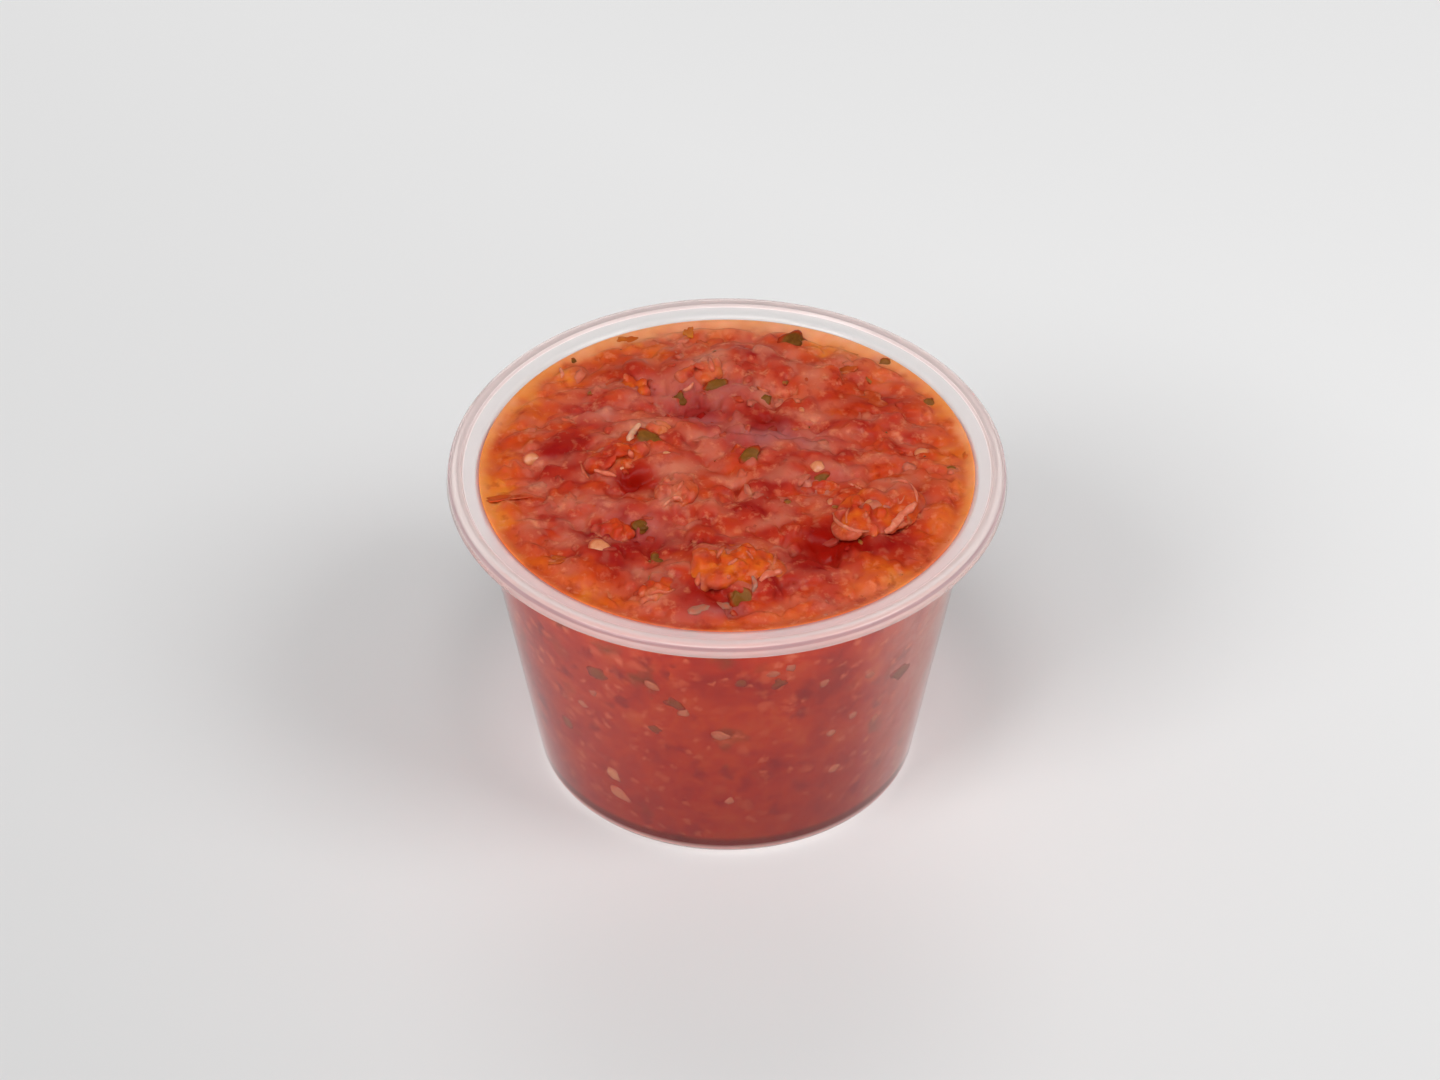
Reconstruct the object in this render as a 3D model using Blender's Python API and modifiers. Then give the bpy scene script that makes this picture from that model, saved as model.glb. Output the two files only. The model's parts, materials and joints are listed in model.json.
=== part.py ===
"""A clear portion cup filled to its rim with spicy tomato salad.

The row frame has its origin at the middle of the cup's foot, +Z up, and the
side that was nearest the viewer towards -Y. All sizes are in metres.
"""

import math
import random

import bmesh
import bpy
from mathutils import Matrix, Vector, noise

MM = 0.001

# The cup: a standard 120 ml portion cup, measured on its inner and upper face.
RIM_RADIUS = 37.0 * MM
CUP_HEIGHT = 46.0 * MM
SHELL = 0.5 * MM
SKIRT_DROP = 1.6 * MM
LIP_RADIUS = 36.75 * MM
LIP_ROUND = 0.8 * MM
LEDGE_OUTER_RADIUS = 35.05 * MM
LEDGE_INNER_RADIUS = 34.85 * MM
LEDGE_DROP = 0.35 * MM
MOUTH_RADIUS = 32.8 * MM
MOUTH_ROUND = 0.9 * MM
FOOT_RADIUS = 24.85 * MM
FOOT_ROUND = 0.9 * MM
FOOT_RING_RADIUS = 22.4 * MM
PUSH_UP_RADIUS = 21.4 * MM
PUSH_UP = 0.6 * MM
SPOKES = 72

# The salad: its level at the wall, and the clearance that meshes keep.
GAP = 0.3 * MM
LEVEL = CUP_HEIGHT - 1.0 * MM
TOP_RINGS = 20
INNERMOST_RING = 2.0 * MM
SHORE_WIDTH = 7.5 * MM
MOUND_HEIGHT = 1.5 * MM
MOUND_RADIUS = 29.0 * MM
LUMP_HEIGHT = 1.25 * MM
LUMP_WIDTH = 8.5 * MM
LUMP_FALL_OFF = 0.9
LUMP_LACUNARITY = 2.0
LUMP_OCTAVES = 3
PULP_HEIGHT = 0.55 * MM
PULP_WIDTH = 3.4 * MM
EDGE_WIDTH = 2.0 * MM
EDGE_RIPPLE = 0.16 * MM
FLAT_TOLERANCE = 0.01 * MM

# Swells and hollows of the heap: x, y, length, width, turn in degrees, rise.
# All but the turn are in millimetres.
SWELLS = (
    (-1.0, 21.5, 17.0, 7.0, 8.0, 2.0),
    (-12.0, 5.0, 12.0, 8.0, 30.0, 1.5),
    (-6.0, -4.0, 5.0, 9.0, 12.0, 1.3),
    (10.0, 3.0, 14.0, 6.0, -20.0, 1.3),
    (19.5, -9.0, 12.0, 7.0, 28.0, 1.3),
    (2.0, -18.0, 13.0, 8.0, 0.0, 1.5),
    (-9.5, -23.0, 6.5, 4.5, 20.0, 0.9),
    (-3.0, 13.5, 8.0, 4.0, -5.0, -1.7),
    (6.0, 10.0, 9.0, 3.6, -30.0, -1.6),
    (-12.0, -3.0, 7.0, 3.4, 10.0, -1.3),
    (-9.5, -13.0, 7.0, 5.0, -20.0, -1.5),
    (12.5, -15.0, 10.0, 3.6, 15.0, -1.5),
)

# Tomato pieces that stand out of the pulp: x, y, length, width, thickness,
# turn in degrees, and how far the middle stands over the pulp there.
TOMATO_PIECES = (
    (20.2, -10.2, 12.6, 6.0, 3.8, 30.0, 0.5),
    (1.6, -19.6, 12.6, 8.0, 3.8, 4.0, 0.1),
    (-14.2, 1.6, 8.4, 5.4, 3.8, 18.0, 0.4),
    (-6.2, -5.2, 4.8, 8.0, 3.6, 8.0, 0.4),
    (-3.4, 19.0, 7.4, 4.6, 3.8, 24.0, 0.4),
    (-9.4, 7.6, 5.0, 4.0, 3.2, 40.0, 0.4),
    (9.0, 8.6, 7.6, 4.2, 3.0, -22.0, 0.2),
    (-9.2, -24.0, 6.6, 4.2, 3.2, 26.0, 0.2),
    (13.0, -3.0, 6.6, 4.0, 3.0, -8.0, 0.3),
    (-14.6, -11.4, 5.8, 4.0, 2.8, -14.0, 0.2),
    (12.8, 19.6, 6.4, 4.4, 3.0, 10.0, 0.3),
    (-13.0, 18.6, 6.8, 4.4, 2.8, -26.0, 0.1),
)
PIECE_DETAIL = 2
PIECE_PHASE = 1.7

# The small things on top: seeds, scraps of green leaf and grains of pulp.
SEED_SIZE = (2.5 * MM, 1.9 * MM, 0.9 * MM)
SEED_TAPER = 0.5
SEED_LIFT = 0.18 * MM
SEED_COUNT = 20
LEAF_LENGTH = 3.2 * MM
LEAF_WIDTH = 2.3 * MM
LEAF_THICKNESS = 0.7 * MM
LEAF_WAVE = 0.25 * MM
LEAF_RAGGEDNESS = 0.22
LEAF_CORNERS = 6
LEAF_LIFT = -0.35 * MM
LEAF_COUNT = 16
GRAIN_LENGTHS = (2.1 * MM, 3.2 * MM)
GRAIN_WIDTHS = (1.6 * MM, 2.3 * MM)
GRAIN_THICKNESSES = (1.4 * MM, 1.9 * MM)
GRAIN_DETAIL = 1
GRAIN_LIFT = 0.2 * MM
GRAIN_COUNT = 26
LUMP_ROUGHNESS = 0.30
LUMP_PITCH = 3.0
SCATTER_RADIUS = 30.0 * MM
SPACING = 3.6 * MM
RANDOM_SEED = 7
SHARP_ANGLE = math.radians(35.0)


def clear_scene():
    """Removes what a new Blender file starts with."""
    for old in list(bpy.data.objects):
        bpy.data.objects.remove(old, do_unlink=True)


def collection(name):
    """A new collection, linked to the scene."""
    made = bpy.data.collections.new(name)
    bpy.context.scene.collection.children.link(made)
    return made


def material(name, colour, roughness, alpha=1.0, transmission=0.0):
    """A Principled material of one colour."""
    made = bpy.data.materials.new(name)
    made.use_nodes = True
    shader = made.node_tree.nodes["Principled BSDF"]
    shader.inputs["Base Color"].default_value = (*colour, 1.0)
    shader.inputs["Roughness"].default_value = roughness
    shader.inputs["Metallic"].default_value = 0.0
    shader.inputs["Alpha"].default_value = alpha
    shader.inputs["Transmission Weight"].default_value = transmission
    return made


def rounded(corners):
    """The points of an outline whose corners are (radius, height, rounding, steps)."""
    points = []
    for index, (r, z, rounding, steps) in enumerate(corners):
        here = Vector((r, z))
        if not steps:
            points.append(here)
            continue
        back = (Vector(corners[index - 1][:2]) - here).normalized()
        ahead = (Vector(corners[index + 1][:2]) - here).normalized()
        half = math.acos(max(-1.0, min(1.0, back.dot(ahead)))) / 2
        centre = here + (back + ahead).normalized() * rounding / math.sin(half)
        first = (here + back * rounding / math.tan(half) - centre).normalized()
        last = (here + ahead * rounding / math.tan(half) - centre).normalized()
        for step in range(steps + 1):
            points.append(centre + rounding * first.slerp(last, step / steps))
    return points


def turned(name, profile, into):
    """A turned object: the profile, of (radius, height) points, goes round the Z axis."""
    mesh = bpy.data.meshes.new(name)
    edges = [(i, i + 1) for i in range(len(profile) - 1)]
    mesh.from_pydata([(r, 0.0, z) for r, z in profile], edges, [])
    made = bpy.data.objects.new(name, mesh)
    into.objects.link(made)
    screw = made.modifiers.new("Turn", "SCREW")
    screw.axis = "Z"
    screw.steps = screw.render_steps = SPOKES
    screw.use_merge_vertices = True
    screw.merge_threshold = 0.00001
    return made


def as_mesh(obj):
    """Replaces obj's mesh by the one that its modifiers make, and drops the modifiers."""
    bpy.context.view_layer.update()
    graph = bpy.context.evaluated_depsgraph_get()
    obj.data = bpy.data.meshes.new_from_object(obj.evaluated_get(graph))
    obj.modifiers.clear()
    return obj


def inner_face(gap=0.0):
    """The corners of the cup's inside, from the mouth down to the middle of the floor."""
    floor = SHELL + gap
    return (
        (MOUTH_RADIUS - gap, CUP_HEIGHT - LEDGE_DROP, MOUTH_ROUND, 3),
        (FOOT_RADIUS - gap, floor, FOOT_ROUND, 3),
        (FOOT_RING_RADIUS, floor, 0.0, 0),
        (PUSH_UP_RADIUS, floor + PUSH_UP, 0.0, 0),
        (0.0, floor + PUSH_UP, 0.0, 0),
    )


def make_cup(into):
    """The shell: an outward skirt, a flat rim with a sunk ledge, the wall and a pushed-up floor."""
    corners = (
        (RIM_RADIUS, CUP_HEIGHT - SKIRT_DROP, 0.0, 0),
        (LIP_RADIUS, CUP_HEIGHT, LIP_ROUND, 3),
        (LEDGE_OUTER_RADIUS, CUP_HEIGHT, 0.0, 0),
        (LEDGE_INNER_RADIUS, CUP_HEIGHT - LEDGE_DROP, 0.0, 0),
        *inner_face(),
    )
    cup = turned("cup", rounded(corners), into)
    shell = cup.modifiers.new("Shell", "SOLIDIFY")
    shell.thickness = SHELL
    shell.offset = 1.0
    shell.use_even_offset = True
    as_mesh(cup)
    cup.data.shade_smooth()
    cup.data.set_sharp_from_angle(angle=SHARP_ANGLE)
    cup.data.materials.clear()
    cup.data.materials.append(material("clear_plastic", (0.93, 0.90, 0.89), 0.15, 0.35, 0.9))
    return cup


def wall_radius(z):
    """The inner radius of the cup's straight wall at height z."""
    share = (z - SHELL) / (CUP_HEIGHT - LEDGE_DROP - SHELL)
    return FOOT_RADIUS + (MOUTH_RADIUS - FOOT_RADIUS) * share


def smooth(share):
    """0 below 0, 1 above 1, and a smooth step between."""
    share = max(0.0, min(1.0, share))
    return share * share * (3.0 - 2.0 * share)


def swell(x, y, place):
    """The rise at x, y of one swell or hollow."""
    cx, cy, length, width, turn, rise = place
    c = math.cos(math.radians(turn))
    s = math.sin(math.radians(turn))
    dx = x - cx * MM
    dy = y - cy * MM
    along = (dx * c + dy * s) / (length * MM / 2)
    across = (dy * c - dx * s) / (width * MM / 2)
    return rise * MM * math.exp(-(along * along + across * across))


def relief(x, y):
    """The height of the salad's surface over its level at the wall."""
    r = math.hypot(x, y)
    shore = smooth((wall_radius(LEVEL) - GAP - r) / SHORE_WIDTH)
    mound = MOUND_HEIGHT * (1.0 - (r / MOUND_RADIUS) ** 2)
    spot = Vector((x, y, 0.0))
    lumps = noise.fractal(spot / LUMP_WIDTH, LUMP_FALL_OFF, LUMP_LACUNARITY, LUMP_OCTAVES)
    pulp = noise.noise(spot / PULP_WIDTH)
    named = sum(swell(x, y, place) for place in SWELLS)
    heap = mound + LUMP_HEIGHT * lumps + PULP_HEIGHT * pulp + named
    edge = smooth((wall_radius(LEVEL) - GAP - r) / EDGE_WIDTH)
    return shore * heap + edge * EDGE_RIPPLE * pulp


def make_core(into):
    """The salad's body: it fills the cup up to its level and rises in a low, lumpy heap."""
    edge = wall_radius(LEVEL) - GAP
    step = (edge - INNERMOST_RING) / TOP_RINGS
    rings = [0.0] + [INNERMOST_RING + step * i for i in range(TOP_RINGS + 1)]
    side = [p for p in rounded(((edge, LEVEL, 0.0, 0), *inner_face(GAP)[1:])) if p.y < LEVEL]
    core = turned("salad", [(r, LEVEL) for r in rings] + [tuple(p) for p in side], into)
    as_mesh(core)
    for vertex in core.data.vertices:
        if vertex.co.z > LEVEL - FLAT_TOLERANCE:
            vertex.co.z += relief(vertex.co.x, vertex.co.y)
    return core


def rough_lump(size, detail, phase):
    """A lump of three sizes whose surface is pushed in and out by noise."""
    bm = bmesh.new()
    bmesh.ops.create_icosphere(bm, subdivisions=detail, radius=0.5)
    for vertex in bm.verts:
        push = noise.noise(vertex.co * LUMP_PITCH + Vector((phase, 0.0, -phase)))
        vertex.co *= 1.0 + LUMP_ROUGHNESS * push
        vertex.co = Vector([c * s for c, s in zip(vertex.co, size)])
    return bm


def seed_shape():
    """A flat seed with one end drawn to a point."""
    bm = bmesh.new()
    bmesh.ops.create_uvsphere(bm, u_segments=6, v_segments=4, radius=0.5)
    for vertex in bm.verts:
        x, y, z = vertex.co
        taper = 1.0 - SEED_TAPER * max(0.0, x)
        vertex.co = Vector((x * SEED_SIZE[0], y * SEED_SIZE[1] * taper, z * SEED_SIZE[2]))
    return bm


def leaf_shape(phase):
    """A torn scrap of leaf: a wavy six-sided sheet with two faces alike and a rim."""
    bm = bmesh.new()
    bmesh.ops.create_circle(bm, cap_ends=True, cap_tris=True, segments=LEAF_CORNERS, radius=0.5)
    for index, vertex in enumerate(bm.verts):
        sway = math.sin(2.0 * index + phase)
        reach = 1.0 + LEAF_RAGGEDNESS * sway
        x, y = vertex.co.x * reach, vertex.co.y * reach
        vertex.co = Vector((x * LEAF_LENGTH, y * LEAF_WIDTH, LEAF_WAVE * sway))
    upper = bmesh.ops.extrude_face_region(bm, geom=bm.faces[:])
    lifted = [v for v in upper["geom"] if isinstance(v, bmesh.types.BMVert)]
    bmesh.ops.translate(bm, verts=lifted, vec=(0.0, 0.0, LEAF_THICKNESS))
    bmesh.ops.recalc_face_normals(bm, faces=bm.faces[:])
    return bm


def surface_tilt(x, y, reach):
    """The rotation that lays a piece on the relief round x, y, with its own X kept to the right."""
    slope_x = (relief(x + reach, y) - relief(x - reach, y)) / (2 * reach)
    slope_y = (relief(x, y + reach) - relief(x, y - reach)) / (2 * reach)
    right = Vector((1.0, 0.0, slope_x)).normalized()
    normal = Vector((-slope_x, -slope_y, 1.0)).normalized()
    return Matrix((right, normal.cross(right), normal)).transposed().to_4x4()


def lay_piece(bm, name, x, y, lift, turn, into):
    """Puts a piece on the salad's surface, lifted over it and turned."""
    reach = max(abs(vertex.co.x) for vertex in bm.verts)
    mesh = bpy.data.meshes.new(name)
    bm.to_mesh(mesh)
    bm.free()
    made = bpy.data.objects.new(name, mesh)
    spot = Matrix.Translation((x, y, LEVEL + relief(x, y) + lift))
    made.matrix_world = spot @ surface_tilt(x, y, reach) @ Matrix.Rotation(turn, 4, "Z")
    into.objects.link(made)
    return made


def tomato_pieces(into):
    """The tomato pieces that stand out of the pulp."""
    for number, place in enumerate(TOMATO_PIECES):
        x, y, length, width, thick, turn, lift = place
        size = [side * MM for side in (length, width, thick)]
        bm = rough_lump(size, PIECE_DETAIL, PIECE_PHASE * number)
        lay_piece(bm, f"piece_{number:02d}", x * MM, y * MM, lift * MM, math.radians(turn), into)


def open_spots(rng, count, taken):
    """Random places on the heap, each SPACING clear of those already taken."""
    found = []
    while len(found) < count:
        reach = SCATTER_RADIUS * math.sqrt(rng.random())
        angle = rng.uniform(0.0, math.tau)
        spot = Vector((reach * math.cos(angle), reach * math.sin(angle)))
        if all((spot - other).length > SPACING for other in taken):
            taken.append(spot)
            found.append(spot)
    return found


def small_pieces(into):
    """Seeds, scraps of green leaf and grains of pulp, spread over the surface."""
    rng = random.Random(RANDOM_SEED)
    taken = [Vector((place[0] * MM, place[1] * MM)) for place in TOMATO_PIECES]

    def leaf():
        return leaf_shape(rng.uniform(0.0, math.tau))

    def grain():
        size = [rng.uniform(*span) for span in (GRAIN_LENGTHS, GRAIN_WIDTHS, GRAIN_THICKNESSES)]
        return rough_lump(size, GRAIN_DETAIL, rng.uniform(0.0, math.tau))

    kinds = (
        ("seed", SEED_COUNT, SEED_LIFT, seed_shape),
        ("leaf", LEAF_COUNT, LEAF_LIFT, leaf),
        ("grain", GRAIN_COUNT, GRAIN_LIFT, grain),
    )
    for kind, count, lift, shape in kinds:
        for number, spot in enumerate(open_spots(rng, count, taken)):
            turn = rng.uniform(0.0, math.tau)
            lay_piece(shape(), f"{kind}_{number:02d}", *spot, lift, turn, into)


def make_salad(into):
    """The core with every piece that shows fused on, as one solid."""
    loose = collection("salad_pieces")
    core = make_core(into)
    tomato_pieces(loose)
    small_pieces(loose)
    union = core.modifiers.new("Fuse", "BOOLEAN")
    union.operation = "UNION"
    union.operand_type = "COLLECTION"
    union.collection = loose
    union.solver = "EXACT"
    as_mesh(core)
    for piece in list(loose.objects):
        bpy.data.objects.remove(piece, do_unlink=True)
    bpy.data.collections.remove(loose)
    core.data.materials.clear()
    core.data.materials.append(material("tomato_salad", (0.60, 0.13, 0.05), 0.3))
    return core


def main():
    clear_scene()
    parts = collection("spicy_salad_in_cup")
    make_cup(parts)
    make_salad(parts)


main()
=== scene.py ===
"""The looks of a clear portion cup filled to its rim with spicy tomato salad.

Everything is in metres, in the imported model's frame: the origin is the middle of the
cup's foot, +Z is up, and the camera looks along +Y with +X to its right.
"""

import json
import math
import random

import bmesh
import bpy
import numpy as np
from mathutils import Euler, Matrix, Vector, noise
from mathutils.bvhtree import BVHTree

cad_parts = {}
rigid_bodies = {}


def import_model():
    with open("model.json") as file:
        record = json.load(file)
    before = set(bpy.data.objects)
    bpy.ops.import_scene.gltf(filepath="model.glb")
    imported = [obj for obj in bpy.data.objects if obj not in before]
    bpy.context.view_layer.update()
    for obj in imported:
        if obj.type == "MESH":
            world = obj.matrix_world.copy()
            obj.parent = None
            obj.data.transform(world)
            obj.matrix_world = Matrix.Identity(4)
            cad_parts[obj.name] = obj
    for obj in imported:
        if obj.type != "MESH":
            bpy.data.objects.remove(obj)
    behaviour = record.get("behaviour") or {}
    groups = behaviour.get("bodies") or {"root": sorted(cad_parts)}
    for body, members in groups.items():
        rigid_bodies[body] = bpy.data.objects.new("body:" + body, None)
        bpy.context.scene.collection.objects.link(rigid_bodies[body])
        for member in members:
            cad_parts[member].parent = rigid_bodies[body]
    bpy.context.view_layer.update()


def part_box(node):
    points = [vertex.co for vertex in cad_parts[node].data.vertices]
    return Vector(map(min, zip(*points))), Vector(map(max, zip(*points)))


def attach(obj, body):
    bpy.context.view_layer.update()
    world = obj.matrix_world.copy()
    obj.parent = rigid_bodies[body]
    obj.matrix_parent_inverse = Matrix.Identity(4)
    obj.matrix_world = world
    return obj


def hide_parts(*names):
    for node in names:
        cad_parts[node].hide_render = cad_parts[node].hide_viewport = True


MM = 0.001
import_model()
_, cup_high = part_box("cup")

# The cup, as in the model's own source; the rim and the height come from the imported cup.
RIM_RADIUS = cup_high.x
CUP_HEIGHT = cup_high.z
SHELL = 0.5 * MM
SKIRT_DROP = 1.6 * MM
LIP_RADIUS = RIM_RADIUS - 0.25 * MM
LIP_ROUND = 0.8 * MM
LEDGE_OUTER_RADIUS = RIM_RADIUS - 1.95 * MM
LEDGE_INNER_RADIUS = RIM_RADIUS - 2.15 * MM
LEDGE_DROP = 0.35 * MM
LEDGE_ROUND = 0.12 * MM
MOUTH_RADIUS = 32.8 * MM
MOUTH_ROUND = 0.9 * MM
FOOT_RADIUS = 24.85 * MM
FOOT_ROUND = 0.9 * MM
FOOT_RING_RADIUS = 22.4 * MM
PUSH_UP_RADIUS = 21.4 * MM
PUSH_UP = 0.6 * MM
FOOT_MILK_TOP = 1.0 * MM
CUP_SPOKES = 240
MERGE_DISTANCE = 1e-6

# Where the plastic is hazy or carries painted shade: how far past the ledge, and how far below the rim.
LEDGE_MARGIN = 0.15 * MM
LIP_SHADE_TOP = 0.14 * MM
LIP_SHADE_FOOT = 0.6 * MM
RIM_MILK_DROP = 1.15 * MM

# The cup's plastics: name, the share of light that is scattered like milk, roughness, screen
# colour, and the colour on the far side where it differs, darker there as painted shade. The
# pink of the hazy plastics is painted light from the red salad, and shaded_lip is a grey band
# of painted shade under the lip's bead.
PLASTICS = (
    ("clear_plastic", 0.0, 0.06, (253, 250, 248)),
    ("milky_rim", 0.36, 0.12, (243, 233, 232), (231, 229, 228)),
    ("milky_lip", 0.33, 0.12, (247, 234, 231)),
    ("milky_foot", 0.49, 0.2, (252, 238, 236)),
    ("shaded_lip", 0.45, 0.2, (206, 178, 180)),
)

# The salad: its level at the wall, and how far it reaches into the plastic, so that
# no air shows between them.
INTO_WALL = 0.15 * MM
LEVEL = CUP_HEIGHT - 1.0 * MM
TOP_CELLS = 288
SHORE_WIDTH = 7.5 * MM
EDGE_WIDTH = 2.0 * MM
EDGE_RIPPLE = 0.16 * MM
MOUND_HEIGHT = 1.5 * MM
MOUND_RADIUS = 29.0 * MM
LUMP_HEIGHT = 1.25 * MM
LUMP_WIDTH = 8.5 * MM
PULP_HEIGHT = 0.55 * MM
PULP_WIDTH = 3.4 * MM
MENISCUS = 0.4 * MM
SHORE_DROP = 0.28 * MM
MENISCUS_WIDTH = 1.6 * MM

# Swells and hollows of the heap: x, y, length, width, turn in degrees, rise.
# All but the turn are in millimetres.
SWELLS = (
    (-1.2, 20.3, 17.0, 7.0, 8.0, 2.0),
    (-12.2, 3.8, 12.0, 8.0, 30.0, 1.5),
    (-6.2, -5.2, 5.0, 9.0, 12.0, 1.3),
    (9.8, 1.8, 14.0, 6.0, -20.0, 1.3),
    (19.3, -10.2, 12.0, 7.0, 28.0, 1.3),
    (1.8, -19.2, 13.0, 8.0, 0.0, 1.5),
    (-9.7, -24.2, 6.5, 4.5, 20.0, 0.9),
    (-3.2, 12.3, 8.0, 4.0, -5.0, -1.7),
    (5.8, 8.8, 9.0, 3.6, -30.0, -1.6),
    (-12.2, -4.2, 7.0, 3.4, 10.0, -1.3),
    (-9.7, -14.2, 7.0, 5.0, -20.0, -1.5),
    (12.3, -16.2, 10.0, 3.6, 15.0, -1.5),
)

# Patches of colour in the mash: x, y and radius in millimetres, how much riper than the
# mash round it (less is more orange), and how much painted shade darkens and dims it.
COLOUR_PATCHES = (
    (-21.2, 19.8, 3.0, -0.35, 0.05),
    (-24.7, 16.3, 4.0, -0.25, 0.0),
    (-28.2, 7.3, 4.5, -0.15, 0.1),
    (-30.7, -3.2, 3.5, -0.35, 0.0),
    (-30.7, -10.7, 3.0, -0.3, 0.0),
    (-13.7, 20.8, 4.5, 0.2, 0.3),
    (-9.7, 26.3, 3.5, -0.15, 0.0),
    (-20.7, 3.8, 4.0, 0.45, 0.25),
    (-12.8, -3.0, 3.0, 0.2, 0.85),
    (-3.9, 11.8, 3.5, 0.15, 0.6),
    (5.3, 8.8, 4.0, 0.3, 0.45),
    (13.3, 26.3, 3.5, -0.4, 0.0),
    (17.8, 13.8, 4.5, -0.05, 0.3),
    (21.3, 18.8, 3.0, -0.35, 0.0),
    (27.8, 3.8, 4.5, -0.3, 0.05),
    (14.3, -15.2, 4.8, 0.2, 0.9),
    (20.5, -16.4, 3.6, 0.2, 0.35),
    (23.8, -14.7, 4.0, 0.05, 0.3),
    (10.8, -18.7, 4.0, 0.35, 0.3),
    (21.8, -21.7, 5.0, -0.25, 0.0),
    (-5.7, -16.2, 3.5, 0.3, 0.1),
    (-13.7, -16.2, 4.5, 0.1, 0.25),
    (-25.7, -17.7, 5.0, -0.15, 0.1),
    (-17.7, -25.7, 4.5, -0.2, 0.1),
    (-2.2, -26.7, 4.5, 0.1, 0.5),
)

# Pale greyish smears of painted sheen on the mash, where reflected light lies: x, y, length and width in
# millimetres, and strength.
SHEEN_PATCHES = (
    (6.0, 5.4, 15.0, 5.0, 0.75),
    (-2.6, 9.6, 6.0, 3.4, 0.55),
    (-8.0, 15.2, 11.0, 6.0, 0.35),
    (1.0, 15.0, 7.0, 5.0, 0.35),
    (-17.0, 11.0, 7.0, 4.0, 0.25),
    (-11.0, -12.0, 8.0, 5.0, 0.35),
    (-17.0, -8.0, 6.0, 4.0, 0.25),
    (-1.6, -28.6, 8.0, 2.2, 0.6),
    (14.0, -3.0, 8.0, 3.0, 0.3),
)

# Pale flesh that lies open, in the same form.
PALE_PATCHES = (
    (-2.6, 21.4, 5.0, 4.0, 0.9),
    (-1.4, 18.0, 9.0, 4.0, 0.3),
    (-9.1, 7.5, 4.6, 3.6, 0.8),
    (-6.5, -2.9, 5.0, 7.0, 0.7),
    (-7.1, -8.0, 3.4, 3.0, 0.7),
    (4.7, 14.1, 3.4, 2.6, 0.6),
    (12.0, -9.4, 3.6, 2.8, 0.6),
    (-9.1, -27.0, 5.0, 2.6, 0.6),
    (21.0, -6.6, 5.0, 4.0, 0.5),
    (-16.5, -6.5, 5.0, 2.4, 0.4),
)

# Tomato pieces: x, y, length, width, thickness, turn in degrees, how far the middle
# stands over the pulp, how grainy the flesh is, and its ripeness from orange to crimson.
TOMATO_PIECES = (
    (19.6, -10.0, 13.0, 9.6, 4.0, 22.0, -0.10, 0.25, 0.50),
    (1.4, -21.2, 13.0, 9.4, 4.2, 4.0, 0.15, 1.00, 0.36),
    (-14.4, 0.4, 8.4, 5.4, 3.8, 18.0, 0.20, 0.35, 0.66),
    (-6.6, -6.0, 5.4, 8.8, 3.4, 8.0, 0.30, 0.10, 0.55),
    (-3.6, 18.4, 6.4, 4.4, 3.8, 24.0, 0.30, 0.15, 0.45),
    (-9.6, 6.4, 5.0, 4.0, 3.2, 40.0, 0.20, 0.20, 0.35),
    (8.8, 7.4, 7.6, 4.2, 3.0, -22.0, 0.10, 0.05, 0.72),
    (-9.4, -25.2, 6.6, 4.2, 3.2, 26.0, 0.20, 0.40, 0.50),
    (12.8, -4.2, 6.6, 4.0, 3.0, -8.0, 0.20, 0.10, 0.62),
    (-14.8, -12.6, 5.8, 4.0, 2.8, -14.0, 0.00, 0.35, 0.66),
    (12.6, 18.4, 6.4, 4.4, 3.0, 10.0, 0.10, 0.10, 0.60),
    (-13.2, 17.4, 6.8, 4.4, 2.8, -26.0, 0.00, 0.10, 0.50),
)
PIECE_VOXEL = 0.2 * MM
FIRST_PIECE_SEED = 31

# The photograph's frame in pixels, and the camera that took it.
PHOTO_WIDTH = 1440
PHOTO_HEIGHT = 1080
RIM_CENTRE_PIXEL = (729, 466)
LENS_MM = 154.35
SENSOR_MM = 36.0
FOCAL = LENS_MM / SENSOR_MM * PHOTO_WIDTH
EYE_DISTANCE = 0.814
EYE_ELEVATION = math.radians(39.0)
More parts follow.
